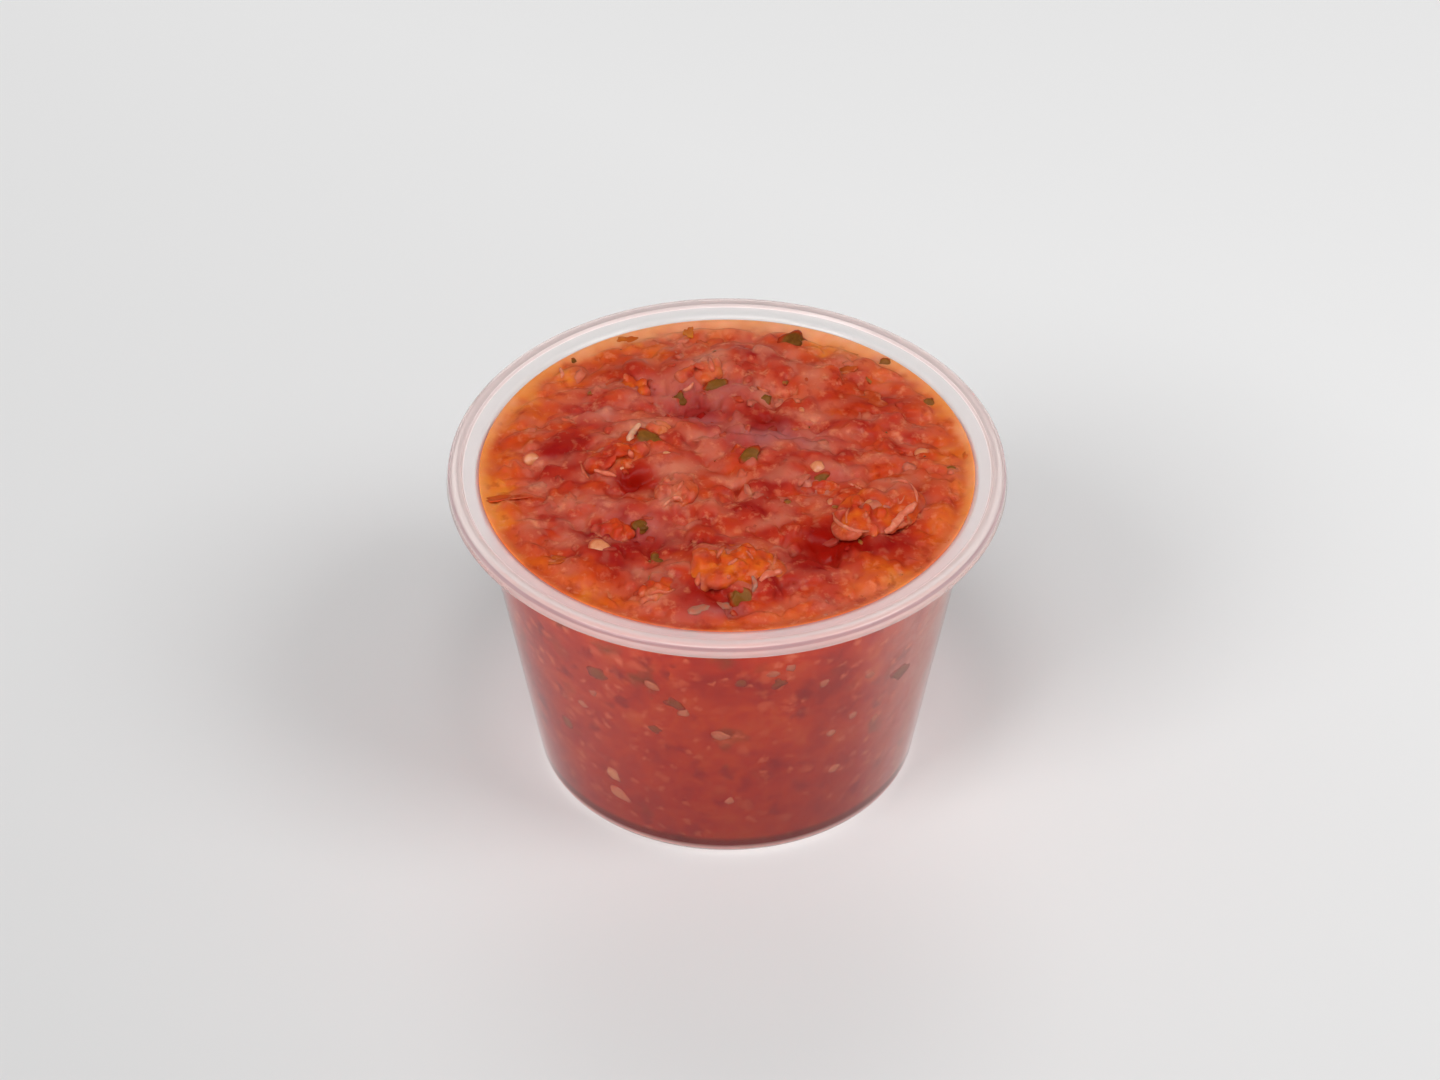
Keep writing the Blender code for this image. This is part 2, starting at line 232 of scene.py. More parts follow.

# Thin pale edges of skin and flesh that stand up out of the pieces: their course in
# pixels, their width in millimetres and how white they are, which is partly painted highlight
# where the edges glint.
PALE_EDGES = (
    (((833, 513), (836, 521), (843, 526), (852, 530), (862, 532), (870, 531)), 0.60, 0.60),
    (((885, 532), (892, 528), (897, 521), (903, 514), (911, 508), (917, 502)), 1.20, 0.60),
    (((917, 502), (917, 496), (914, 488), (909, 483), (900, 480), (889, 482)), 0.50, 0.50),
    (((849, 508), (846, 516), (847, 525)), 0.50, 0.40),
    (((866, 511), (866, 520)), 0.50, 0.30),
    (((898, 498), (899, 504), (903, 500), (905, 494)), 0.40, 0.40),
    (((848, 483), (855, 486), (863, 490)), 0.50, 0.35),
    (((594, 470), (603, 473), (610, 474), (618, 477)), 0.70, 0.60),
    (((581, 464), (584, 473), (590, 480)), 0.50, 0.30),
    (((628, 441), (631, 435), (636, 428), (641, 423)), 0.95, 0.85),
    (((629, 450), (631, 455), (634, 459)), 0.70, 0.45),
    (((663, 507), (668, 502), (674, 498), (680, 497), (683, 504)), 0.60, 0.60),
    (((676, 492), (680, 486), (684, 480)), 0.60, 0.35),
    (((683, 391), (690, 388), (694, 381)), 0.60, 0.65),
    (((713, 372), (711, 364), (709, 356)), 0.80, 0.35),
    (((697, 586), (698, 578), (700, 571)), 0.80, 0.35),
    (((717, 558), (721, 551), (725, 546)), 0.80, 0.25),
    (((728, 565), (733, 562), (738, 558)), 0.60, 0.40),
    (((727, 578), (731, 575)), 0.60, 0.45),
    (((746, 551), (751, 556), (753, 560)), 0.50, 0.35),
    (((776, 553), (775, 560), (773, 566)), 0.50, 0.35),
    (((760, 581), (766, 575), (775, 573), (783, 570)), 1.10, 0.55),
    (((688, 612), (700, 608), (716, 605), (735, 606)), 1.90, 0.05),
    (((752, 576), (756, 584), (752, 594)), 1.00, 0.05),
    (((648, 595), (657, 591), (668, 593), (676, 588)), 0.60, 0.40),
    (((560, 368), (563, 374), (561, 379)), 0.60, 0.60),
    (((757, 386), (764, 392), (771, 390)), 0.60, 0.35),
)

# Seeds and green flecks that stand out in the photograph, on top and behind the wall, by
# their pixels there, with their length in millimetres and their turn in degrees.
TOP_SEEDS = (
    (531, 459, 2.2, 20),
    (868, 502, 1.3, 40),
    (667, 453, 1.2, 0),
    (622, 469, 1.0, 30),
    (818, 467, 2.4, -30),
    (921, 452, 2.0, 10),
    (600, 547, 2.8, -8),
)
TOP_FLECKS = (
    (795, 343, 3.2, 20),
    (649, 438, 2.7, -20),
    (574, 362, 1.2, 0),
    (716, 385, 2.2, 30),
    (680, 400, 2.0, 80),
    (655, 560, 2.0, 10),
    (742, 598, 2.6, -50),
    (822, 480, 1.9, 15),
    (885, 363, 1.6, -20),
    (928, 404, 1.8, 40),
    (950, 468, 1.2, 0),
    (750, 455, 2.4, 25),
    (640, 526, 1.8, -20),
    (765, 400, 1.6, 50),
)
WALL_SEEDS = (
    (614, 773, 2.6, -50),
    (620, 793, 3.0, -20),
    (653, 685, 2.2, -30),
    (594, 692, 1.4, 60),
    (584, 703, 1.6, 0),
    (684, 712, 1.7, 40),
    (721, 735, 2.2, 0),
    (730, 800, 1.5, 80),
    (774, 673, 1.8, 15),
    (791, 667, 1.5, -60),
    (824, 682, 1.6, 30),
    (870, 673, 1.7, -20),
    (852, 714, 1.6, 10),
    (874, 716, 1.4, 70),
    (831, 732, 1.6, -40),
    (834, 767, 1.7, 20),
)
WALL_FLECKS = (
    (598, 673, 2.2, 10),
    (675, 703, 1.8, -30),
    (569, 721, 1.8, 40),
    (899, 671, 2.6, -15),
    (655, 728, 1.4, 0),
    (779, 682, 1.6, 20),
    (741, 682, 1.3, -50),
)

# How those seeds and flecks lie: their lift in millimetres, their thickness for their size,
# the least and most of their tint, and the lengths at which they drown and stand clear.
TOP_SEED_LIE = (-0.14, 1.0, (0.5, 0.9), 0.0, 0.0)
WALL_SEED_LIE = (0.0, 0.3, (0.2, 0.7), 1.2, 3.4)
TOP_FLECK_LIE = (-0.25, 1.0, (0.1, 0.7), 0.0, 0.0)
WALL_FLECK_LIE = (0.0, 0.25, (0.5, 0.9), 0.8, 7.0)

# Strips of skin and bits that lie flat: pixel, length and width in millimetres, turn in
# degrees, and ripeness.
SKIN_STRIPS = (
    (505, 498, 6.6, 1.3, -4, 0.42),
    (689, 332, 1.6, 2.8, 4, 0.12),
    (873, 401, 5.0, 3.4, -35, 0.50),
    (900, 528, 4.4, 1.8, 30, 0.40),
    (629, 341, 3.6, 2.2, 12, 0.30),
    (560, 560, 3.8, 2.0, 20, 0.25),
    (845, 370, 3.4, 2.2, -15, 0.35),
)

# Chopped bits that the mash's top is made of: how many, the smallest and the largest in
# millimetres, how thick for their size, how steeply they lean, how many millimetres they
# stand proud or sink, and the seed.
CHOPS = (
    (420, 1.8, 3.8, 0.26, 0.30, 0.35, 5),
    (1300, 0.9, 2.0, 0.30, 0.35, 0.30, 6),
    (900, 0.4, 0.9, 0.35, 0.40, 0.25, 7),
)
CHOP_FLOOR = 0.45 * MM
JUICE_RISE = 0.22
JUICE_FALL = 0.26
JUICE_BLEND = 0.7 * MM

# Small things strewn over the top: name, spacing in millimetres, most in a square metre,
# smallest and largest in millimetres, tilt, lift in millimetres, seed, and where they lie.
STREWN = (
    ("tomato_mince", 1.9, 120000.0, 0.8, 1.9, 0.35, -0.22, 3, "rough"),
    ("seeds", 13.0, 3000.0, 1.3, 1.8, 0.30, -0.16, 11, "rough"),
    ("herb_flecks", 5.5, 10000.0, 0.5, 1.2, 0.30, -0.12, 17, "rough"),
    ("froth", 0.55, 3000000.0, 0.3, 0.7, 0.30, -0.06, 37, "froth"),
)

# The studio's lamps: name, place and size in metres, and power in watts.
LAMPS = (
    ("right softbox", (0.86, -0.36, 1.0), 0.60, 6.3),
    ("left softbox", (-1.12, -1.04, 1.28), 0.84, 13.4),
    ("high softbox", (-0.2, -1.5, 3.4), 1.9, 46.0),
)
SKY_FRONT = 0.26
SKY_BACK = 0.12
# The pink of the painted glow on the paper round the cup's foot.
GLOW = (1.0, 0.84, 0.84, 1.0)


def smooth(share):
    """0 below 0, 1 above 1, and a smooth step between, for a number or an array."""
    share = np.clip(share, 0.0, 1.0)
    return share * share * (3.0 - 2.0 * share)


def linear(red, green, blue):
    """An 8-bit screen colour as the linear colour that shaders take."""
    shares = [channel / 255.0 for channel in (red, green, blue)]
    return tuple(s / 12.92 if s <= 0.04045 else ((s + 0.055) / 1.055) ** 2.4 for s in shares)


def rounded(corners):
    """The points of an outline whose corners are (radius, height, rounding, steps)."""
    points = []
    for index, (r, z, rounding, steps) in enumerate(corners):
        here = Vector((r, z))
        if not steps:
            points.append(here)
            continue
        back = (Vector(corners[index - 1][:2]) - here).normalized()
        ahead = (Vector(corners[index + 1][:2]) - here).normalized()
        half = math.acos(max(-1.0, min(1.0, back.dot(ahead)))) / 2
        centre = here + (back + ahead).normalized() * rounding / math.sin(half)
        first = (here + back * rounding / math.tan(half) - centre).normalized()
        last = (here + ahead * rounding / math.tan(half) - centre).normalized()
        for step in range(steps + 1):
            points.append(centre + rounding * first.slerp(last, step / steps))
    return points


def inner_face(outward=0.0, steps=6):
    """The corners of the cup's inside, from the mouth down to the middle of the floor."""
    floor = SHELL - outward
    return (
        (MOUTH_RADIUS + outward, CUP_HEIGHT - LEDGE_DROP, MOUTH_ROUND, steps),
        (FOOT_RADIUS + outward, floor, FOOT_ROUND, steps),
        (FOOT_RING_RADIUS, floor, 0.0, 0),
        (PUSH_UP_RADIUS, floor + PUSH_UP, 0.0, 0),
        (0.0, floor + PUSH_UP, 0.0, 0),
    )


def wall_radius(z):
    """The inner radius of the cup's straight wall at height z."""
    share = (z - SHELL) / (CUP_HEIGHT - LEDGE_DROP - SHELL)
    return FOOT_RADIUS + (MOUTH_RADIUS - FOOT_RADIUS) * share


SHORE_RADIUS = wall_radius(LEVEL) + INTO_WALL


# Nodes


def open_socket(sockets, label=None):
    """The socket of that name, or else the first, that the node's present settings use."""
    return next(s for s in sockets if s.enabled and label in (None, s.name))


def add_node(tree, kind, links=None, **settings):
    """A node with its settings, and its inputs, by number or name, linked or set."""
    node = tree.nodes.new(kind)
    for key, value in settings.items():
        setattr(node, key, value)
    for place, source in (links or {}).items():
        socket = node.inputs[place] if isinstance(place, int) else open_socket(node.inputs, place)
        if isinstance(source, bpy.types.Node):
            source = open_socket(source.outputs)
        if isinstance(source, bpy.types.NodeSocket):
            tree.links.new(source, socket)
        else:
            socket.default_value = source
    return node


def sums(tree, operation, first, second, clamp=False):
    """One sum of two numbers, each a socket or a number."""
    links = {0: first, 1: second}
    return add_node(tree, "ShaderNodeMath", links, operation=operation, use_clamp=clamp).outputs[0]


def plus(tree, first, second, clamp=False):
    return sums(tree, "ADD", first, second, clamp)


def minus(tree, first, second, clamp=False):
    return sums(tree, "SUBTRACT", first, second, clamp)


def times(tree, first, second):
    return sums(tree, "MULTIPLY", first, second)


def node_tree(name, inputs):
    """A Geometry Nodes tree with named inputs: the tree, what it is given, and its last node."""
    tree = bpy.data.node_groups.new(name, "GeometryNodeTree")
    tree.interface.new_socket("Geometry", in_out="OUTPUT", socket_type="NodeSocketGeometry")
    for label, kind in {"Geometry": "Geometry", **inputs}.items():
        tree.interface.new_socket(label, in_out="INPUT", socket_type="NodeSocket" + kind)
    return tree, tree.nodes.new("NodeGroupInput").outputs, tree.nodes.new("NodeGroupOutput")


def finished_tree(tree, given, end, shape):
    """Ends a tree in a real mesh with its material."""
    real = add_node(tree, "GeometryNodeRealizeInstances", {"Geometry": shape})
    links = {"Geometry": real, "Material": given["Material"]}
    done = add_node(tree, "GeometryNodeSetMaterial", links)
    tree.links.new(done.outputs[0], end.inputs[0])
    return tree


def turning_tree():
    """Turns an outline of (radius, 0, height) points round the Z axis."""
    inputs = {"Radius": "Float", "Spokes": "Int", "Material": "Material"}
    tree, given, end = node_tree("turned shape", inputs)
    place = add_node(tree, "GeometryNodeInputPosition")
    split = add_node(tree, "ShaderNodeSeparateXYZ", {0: place}).outputs
    reach = minus(tree, split["X"], given["Radius"])
    down = times(tree, split["Z"], -1.0)
    flat = add_node(tree, "ShaderNodeCombineXYZ", {"X": reach, "Y": down})
    links = {"Geometry": given["Geometry"], "Position": flat}
    laid = add_node(tree, "GeometryNodeSetPosition", links)
    outline = add_node(tree, "GeometryNodeMeshToCurve", {"Mesh": laid})
    links = {"Resolution": given["Spokes"], "Radius": given["Radius"]}
    ring = add_node(tree, "GeometryNodeCurvePrimitiveCircle", links)
    swept = add_node(tree, "GeometryNodeCurveToMesh", {"Curve": ring, "Profile Curve": outline})
    links = {"Geometry": swept, "Distance": MERGE_DISTANCE}
    closed = add_node(tree, "GeometryNodeMergeByDistance", links)
    eased = add_node(tree, "GeometryNodeSetShadeSmooth", {"Geometry": closed})
    return finished_tree(tree, given, end, eased)


def scattering_tree():
    """Lays small shapes over a carrier surface, sunk into it, each turned and tinted at random."""
    floats = ("Spacing", "Density", "Smallest", "Largest", "Tilt", "Lift")
    inputs = {label: "Float" for label in floats}
    inputs.update(Shapes="Collection", Where="String", Seed="Int", Material="Material")
    tree, given, end = node_tree("scattered shapes", inputs)
    links = {
        "Mesh": given["Geometry"],
        "Distance Min": given["Spacing"],
        "Density Max": given["Density"],
        "Density Factor": add_node(tree, "GeometryNodeInputNamedAttribute", {"Name": given["Where"]}),
        "Seed": given["Seed"],
    }
    strewn = add_node(tree, "GeometryNodeDistributePointsOnFaces", links, distribute_method="POISSON")
    links = {0: strewn.outputs["Normal"], "Scale": given["Lift"]}
    sinking = add_node(tree, "ShaderNodeVectorMath", links, operation="SCALE")
    sunk = add_node(tree, "GeometryNodeSetPosition", {"Geometry": strewn, "Offset": sinking})
    back = times(tree, given["Tilt"], -1.0)
    most = {"X": given["Tilt"], "Y": given["Tilt"], "Z": math.tau}
    links = {
        "Min": add_node(tree, "ShaderNodeCombineXYZ", {"X": back, "Y": back}),
        "Max": add_node(tree, "ShaderNodeCombineXYZ", most),
        "Seed": given["Seed"],
    }
    spin = add_node(tree, "FunctionNodeRandomValue", links, data_type="FLOAT_VECTOR")
    turn = add_node(tree, "FunctionNodeEulerToRotation", {"Euler": spin})
    links = {"Rotation": strewn.outputs["Rotation"], "Rotate By": turn}
    aimed = add_node(tree, "FunctionNodeRotateRotation", links, rotation_space="LOCAL")
    links = {"Min": given["Smallest"], "Max": given["Largest"], "Seed": given["Seed"]}
    size = add_node(tree, "FunctionNodeRandomValue", links, data_type="FLOAT")
    links = {"Collection": given["Shapes"], "Separate Children": True, "Reset Children": True}
    shapes = add_node(tree, "GeometryNodeCollectionInfo", links)
    links = {"Points": sunk, "Instance": shapes, "Pick Instance": True, "Rotation": aimed, "Scale": size}
    laid = add_node(tree, "GeometryNodeInstanceOnPoints", links)
    chance = add_node(tree, "FunctionNodeRandomValue", {"Seed": given["Seed"]}, data_type="FLOAT")
    links = {"Geometry": laid, "Name": "tint", "Value": chance}
    kind = "GeometryNodeStoreNamedAttribute"
    tinted = add_node(tree, kind, links, data_type="FLOAT", domain="INSTANCE")
    return finished_tree(tree, given, end, tinted)


def grown(name, carrier, tree, values):
    """Runs a tree on the carrier mesh with these input values, and keeps the plain mesh."""
    holder = bpy.data.objects.new(name, carrier)
    bpy.context.scene.collection.objects.link(holder)
    modifier = holder.modifiers.new(tree.name, "NODES")
    modifier.node_group = tree
    for item in tree.interface.items_tree:
        if item.in_out == "INPUT" and item.name in values:
            modifier[item.identifier] = values[item.name]
    bpy.context.view_layer.update()
    graph = bpy.context.evaluated_depsgraph_get()
    made = bpy.data.meshes.new_from_object(holder.evaluated_get(graph))
    holder.modifiers.clear()
    holder.data = made
    made.name = name
    return holder


# Materials. Pitches of noise and depths of light and relief are in millimetres.


def new_material(name, **values):
    """A Principled material, with its constant values set on the shader's own sockets."""
    made = bpy.data.materials.new(name)
    made.use_nodes = True
    shader = made.node_tree.nodes["Principled BSDF"]
    for label, value in values.items():
        shader.inputs[label.replace("_", " ")].default_value = value
    return made, made.node_tree


def wet_material(name, weight, depth, radii, **values):
    """A material in which light spreads: how much of it, how deep, and how far each colour."""
    made, tree = new_material(name, **values)
    sockets = made.node_tree.nodes["Principled BSDF"].inputs
    sockets["Subsurface Weight"].default_value = weight
    sockets["Subsurface Scale"].default_value = depth * MM
    sockets["Subsurface Radius"].default_value = radii
    return made, tree


def painted(made, colour, relief=None, strength=0.0, depth=0.0):
    """Gives a material its colour, and fine relief from a height value."""
    tree = made.node_tree
    shader = tree.nodes["Principled BSDF"]
    if colour is not None:
        tree.links.new(colour, shader.inputs["Base Color"])
    if relief is not None:
        links = {"Strength": strength, "Distance": depth * MM, "Height": relief}
        bump = add_node(tree, "ShaderNodeBump", links)
        tree.links.new(bump.outputs["Normal"], shader.inputs["Normal"])
    return made


def attribute(tree, name):
    """The value of a mesh attribute."""
    return add_node(tree, "ShaderNodeAttribute", attribute_name=name).outputs["Fac"]


def own_place(tree, axis=None):
    """The object's own coordinates, or the one along an axis."""
    place = add_node(tree, "ShaderNodeTexCoord").outputs["Object"]
    return add_node(tree, "ShaderNodeSeparateXYZ", {0: place}).outputs[axis] if axis else place


def noise_at(tree, pitch, detail=3.0, roughness=0.6, distortion=0.0):
    """Noise with this pitch, on the object's own coordinates."""
    links = {"Vector": own_place(tree), "Scale": 1.0 / (pitch * MM)}
    links.update(Detail=detail, Roughness=roughness, Distortion=distortion)
    return add_node(tree, "ShaderNodeTexNoise", links).outputs["Fac"]


def warped(tree, pitch, reach):
    """The object's coordinates, pushed about by noise of this pitch as far as reach."""
    place = own_place(tree)
    links = {"Vector": place, "Scale": 1.0 / (pitch * MM)}
    push = add_node(tree, "ShaderNodeTexNoise", links).outputs["Color"]
    links = {0: push, 1: (0.5, 0.5, 0.5)}
    centred = add_node(tree, "ShaderNodeVectorMath", links, operation="SUBTRACT")
    links = {0: centred, "Scale": 2.0 * reach * MM}
    sized = add_node(tree, "ShaderNodeVectorMath", links, operation="SCALE")
    return add_node(tree, "ShaderNodeVectorMath", {0: place, 1: sized}, operation="ADD").outputs[0]


def mixed(tree, share, first, second):
    """A mix of two colours, each a socket or a colour."""
    links = {"Factor": share, "A": first, "B": second}
    for label in "AB":
        if isinstance(links[label], tuple):
            links[label] = (*links[label], 1.0)
    return open_socket(add_node(tree, "ShaderNodeMix", links, data_type="RGBA").outputs)


def spread(tree, value, low, high, to_low=0.0, to_high=1.0):
    """Value carried from low..high to to_low..to_high, and kept inside it."""
    links = {"Value": value, 1: low, 2: high, 3: to_low, 4: to_high}
    return add_node(tree, "ShaderNodeMapRange", links).outputs["Result"]


def ramp(tree, value, stops):
    """A colour ramp over (place, colour) stops."""
    node = add_node(tree, "ShaderNodeValToRGB", {"Fac": value})
    elements = node.color_ramp.elements
    while len(elements) < len(stops):
        elements.new(1.0)
    for element, (place, colour) in zip(elements, stops):
        element.position = place
        element.color = (*linear(*colour), 1.0)
    return node.outputs["Color"]


# Colours along a ramp, as screen colours: how ripe the flesh is, the mash behind the wall, and
# the tints of pale edges, whose palest are partly painted highlight, seeds and herbs.
RIPENESS = ((0.0, (224, 124, 38)), (0.2, (212, 92, 26)), (0.45, (199, 69, 26)), (0.75, (181, 50, 31)))
RIPENESS += ((1.0, (152, 24, 22)),)
WALL_REDS = ((0.34, (166, 28, 5)), (0.45, (186, 41, 7)), (0.55, (197, 55, 11)), (0.68, (207, 80, 29)))
EDGE_TINTS = ((0.0, (168, 112, 92)), (0.25, (206, 92, 60)), (0.6, (222, 116, 88)), (1.0, (240, 184, 148)))
SEED_TINTS = ((0.0, (190, 86, 46)), (0.5, (208, 122, 78)), (1.0, (222, 150, 104)))
HERB_TINTS = ((0.0, (92, 50, 14)), (0.45, (122, 76, 26)), (1.0, (152, 92, 42)))
PALE_FLESH = linear(208, 124, 98)
PALE_GRAIN = linear(230, 146, 104)
# The grey of the painted sheen on the mash.
SHEEN_GREY = linear(174, 102, 100)
# The thin juice along the wall: partly its own oily orange, partly painted light that comes through the
# wall.
THIN_LIT_JUICE = linear(236, 168, 130)
OILY_LIT_JUICE = linear(228, 146, 78)
# Dark red of deep juice, also laid on as painted shade in hollows, dark patches and under pieces.
DEEP_JUICE_AND_SHADE = linear(148, 14, 3)
LOW_RED = linear(150, 18, 2)
# A pale veil of painted reflection on the right of the wall.
REFLECTION_VEIL = linear(218, 164, 150)
# A dark band of painted shade at the mash's bottom edge, and a pale band of painted light caught in the
# cup's foot.
FOOT_SHADE = linear(104, 8, 2)
FOOT_GLOW = linear(240, 196, 190)
FLESH_RADII = (1.0, 0.28, 0.14)
EDGE_RADII = (1.0, 0.5, 0.3)
SEED_RADII = (1.0, 0.7, 0.4)

# Soft bits that show through the wall: pitch in millimetres, the least of a cell's chance that
# it holds one, the bit's radius as a share of the pitch, and its colour.
WALL_BITS = (
    (5.2, 0.76, 0.46, linear(134, 58, 14)),
    (3.4, 0.66, 0.48, linear(146, 14, 4)),
    (2.8, 0.62, 0.46, linear(214, 92, 54)),
    (1.7, 0.66, 0.42, linear(220, 108, 70)),
)


def soft_bits(tree, pitch, chosen, reach):
    """1 inside soft bits strewn at this pitch and 0 between them."""
    place = warped(tree, 0.6 * pitch, 0.5 * pitch)
    cell = add_node(tree, "ShaderNodeTexVoronoi", {"Vector": place, "Scale": 1.0 / (pitch * MM)})
    chance = add_node(tree, "ShaderNodeSeparateColor", {"Color": cell.outputs["Color"]}).outputs["Red"]
    near = spread(tree, cell.outputs["Distance"], 0.35 * reach, reach, 0.75, 0.0)
    held = spread(tree, chance, chosen, chosen + 0.12)
    return times(tree, near, held)


def flesh_colour(tree, ripe, pale, sunk):
    """Tomato flesh: its ripeness, how pale it is, and painted shade by how deep it lies, with mottles of
    its own.
    """
    mottle = minus(tree, noise_at(tree, 4.2, 2.0), 0.5)
    streak = minus(tree, noise_at(tree, 1.2), 0.5)
    both = plus(tree, times(tree, mottle, 0.9), times(tree, streak, 0.2))
    red = ramp(tree, plus(tree, ripe, both, True), RIPENESS)
    paler = plus(tree, pale, times(tree, streak, 0.35), True)
    lit = mixed(tree, times(tree, paler, 0.85), red, PALE_FLESH)
    gap = spread(tree, noise_at(tree, 1.9, 3.0, 0.55), 0.30, 0.44, 0.45, 0.0)
    lit = mixed(tree, gap, lit, DEEP_JUICE_AND_SHADE)
    grain = spread(tree, noise_at(tree, 1.5), 0.56, 0.74, 0.0, 0.5)
    lit = mixed(tree, grain, lit, PALE_GRAIN)
    lit = mixed(tree, times(tree, soft_bits(tree, 1.7, 0.70, 0.40), 0.35), lit, PALE_GRAIN)
    # Deep places go dark red: painted shade in hollows and under pieces, and the red of deep juice.
    return mixed(tree, sunk, lit, DEEP_JUICE_AND_SHADE)


def pulp_material():
    """The mash at the top: wet, juicy and a little see-through, with thin juice along the wall, painted
    paler with light that comes through the wall, and smears of painted sheen.
    """
    gloss = {"Roughness": 0.24, "IOR": 1.34, "Specular_IOR_Level": 0.16}
    made, tree = wet_material("tomato_pulp", 0.6, 1.8, FLESH_RADII, **gloss)
    flesh = flesh_colour(tree, *(attribute(tree, name) for name in ("ripe", "pale", "sunk")))
    # Smears of painted sheen over the flesh.
    sheened = mixed(tree, attribute(tree, "painted_sheen"), flesh, SHEEN_GREY)
    far = spread(tree, own_place(tree, "Y"), 20.0 * MM, 31.0 * MM)
    oily = spread(tree, noise_at(tree, 6.0, 2.0), 0.3, 0.6, 0.3, 1.0)
    oily = minus(tree, oily, times(tree, far, 0.5), True)
    # The band of thin juice, painted paler and brighter as if lit through the wall.
    band = mixed(tree, oily, THIN_LIT_JUICE, OILY_LIT_JUICE)
    colour = mixed(tree, attribute(tree, "thin"), sheened, band)
    fine = plus(tree, noise_at(tree, 0.7), noise_at(tree, 1.8, 2.0))
    return painted(made, colour, fine, 0.22, 0.2)


def wall_pulp_material():
    """The mash where it wets the cup's wall: the plastic gives the gloss, so it has none."""
    gloss = {"Roughness": 0.8, "Specular_IOR_Level": 0.0}
    made, tree = wet_material("tomato_pulp_at_wall", 0.3, 1.6, FLESH_RADII, **gloss)
    cloud = noise_at(tree, 8.0, 3.0, 0.55, 0.4)
    lump = noise_at(tree, 2.6, 3.0, 0.6, 0.6)
    colour = ramp(tree, plus(tree, times(tree, cloud, 0.6), times(tree, lump, 0.4)), WALL_REDS)
    for pitch, chosen, reach, bit in WALL_BITS:
        colour = mixed(tree, soft_bits(tree, pitch, chosen, reach), colour, bit)
    height = own_place(tree, "Z")
    # Darker and redder towards the bottom.
    low = spread(tree, height, 2.0 * MM, 30.0 * MM, 0.5, 0.0)
    colour = mixed(tree, low, colour, LOW_RED)
    # A streaky pale veil on the right of the wall, strongest at the front: painted reflection.
    to_right = spread(tree, own_place(tree, "X"), 17.0 * MM, 30.0 * MM)
    to_front = spread(tree, own_place(tree, "Y"), -4.0 * MM, 7.0 * MM, 1.0, 0.12)
    streaky = spread(tree, noise_at(tree, 4.0, 4.0, 0.6, 0.8), 0.34, 0.60, 0.55, 0.95)
    reflection_veil = times(tree, times(tree, to_right, to_front), streaky)
    colour = mixed(tree, reflection_veil, colour, REFLECTION_VEIL)
    # A dark band of painted shade just above the bottom, and under it a pale band of painted light caught
    # in the foot.
    foot = spread(tree, height, 2.4 * MM, 3.2 * MM, 0.75, 0.0)
    colour = mixed(tree, foot, colour, FOOT_SHADE)
    edge = spread(tree, height, 0.9 * MM, 1.6 * MM, 0.95, 0.0)
    return painted(made, mixed(tree, edge, colour, FOOT_GLOW))


def piece_material():
    """The larger tomato pieces: firmer flesh with a sheen of juice."""
    gloss = {"Roughness": 0.24, "IOR": 1.36, "Specular_IOR_Level": 0.2}
    made, tree = wet_material("tomato_flesh", 0.6, 1.8, FLESH_RADII, **gloss)
    colour = flesh_colour(tree, *(attribute(tree, name) for name in ("ripe", "pale", "sunk")))
    fine = plus(tree, noise_at(tree, 0.5), noise_at(tree, 1.3, 2.0))
    return painted(made, colour, fine, 0.25, 0.2)


def mince_material():
    """Small bits of tomato, each a little off the ripeness of the mash that it lies on."""
    gloss = {"Roughness": 0.24, "IOR": 1.36, "Specular_IOR_Level": 0.16}
    made, tree = wet_material("tomato_mince", 0.5, 1.2, FLESH_RADII, **gloss)
    tint = attribute(tree, "tint")
    ripe = plus(tree, attribute(tree, "ripe"), spread(tree, tint, 0.0, 1.0, -0.14, 0.14), True)
    pale = plus(tree, attribute(tree, "pale"), spread(tree, tint, 0.75, 1.0, 0.0, 0.5), True)
    # The mash's painted shade carries onto the bits at 0.6 of its strength.
    colour = flesh_colour(tree, ripe, pale, times(tree, attribute(tree, "sunk"), 0.6))
    return painted(made, colour, noise_at(tree, 0.4, 3.0, 0.7), 0.4, 0.15)


def edge_material():
    """Thin edges of skin and torn flesh: pale, wet and see-through, their palest tints partly painted
    highlight.
    """
    made, tree = wet_material("pale_edge", 0.6, 1.2, EDGE_RADII, Roughness=0.2, IOR=1.36)
    patchy = spread(tree, noise_at(tree, 0.9), 0.3, 0.7, -0.12, 0.12)
    colour = ramp(tree, plus(tree, attribute(tree, "tint"), patchy, True), EDGE_TINTS)
    return painted(made, colour, noise_at(tree, 0.4), 0.3, 0.12)


def bit_colour(tree, pitch, tints, rim, bare, least):
    """A small bit's own tint over its middle, and the mash's red round its rim."""
    tint = plus(tree, attribute(tree, "tint"), minus(tree, noise_at(tree, pitch), 0.5))
    clear = spread(tree, attribute(tree, "clear"), 0.0, bare, least, 1.0)
    return mixed(tree, clear, rim, ramp(tree, tint, tints))


def seed_material():
    """Tomato and chilli seeds: pale straw, a little brown at the rim."""
    gloss = {"Roughness": 0.35, "IOR": 1.4, "Coat_Weight": 0.4, "Coat_Roughness": 0.1}
    made, tree = wet_material("tomato_seed", 0.3, 0.6, SEED_RADII, **gloss)
    colour = bit_colour(tree, 0.5, SEED_TINTS, linear(196, 74, 40), 0.8, 0.15)
    return painted(made, colour, noise_at(tree, 0.2), 0.4, 0.08)


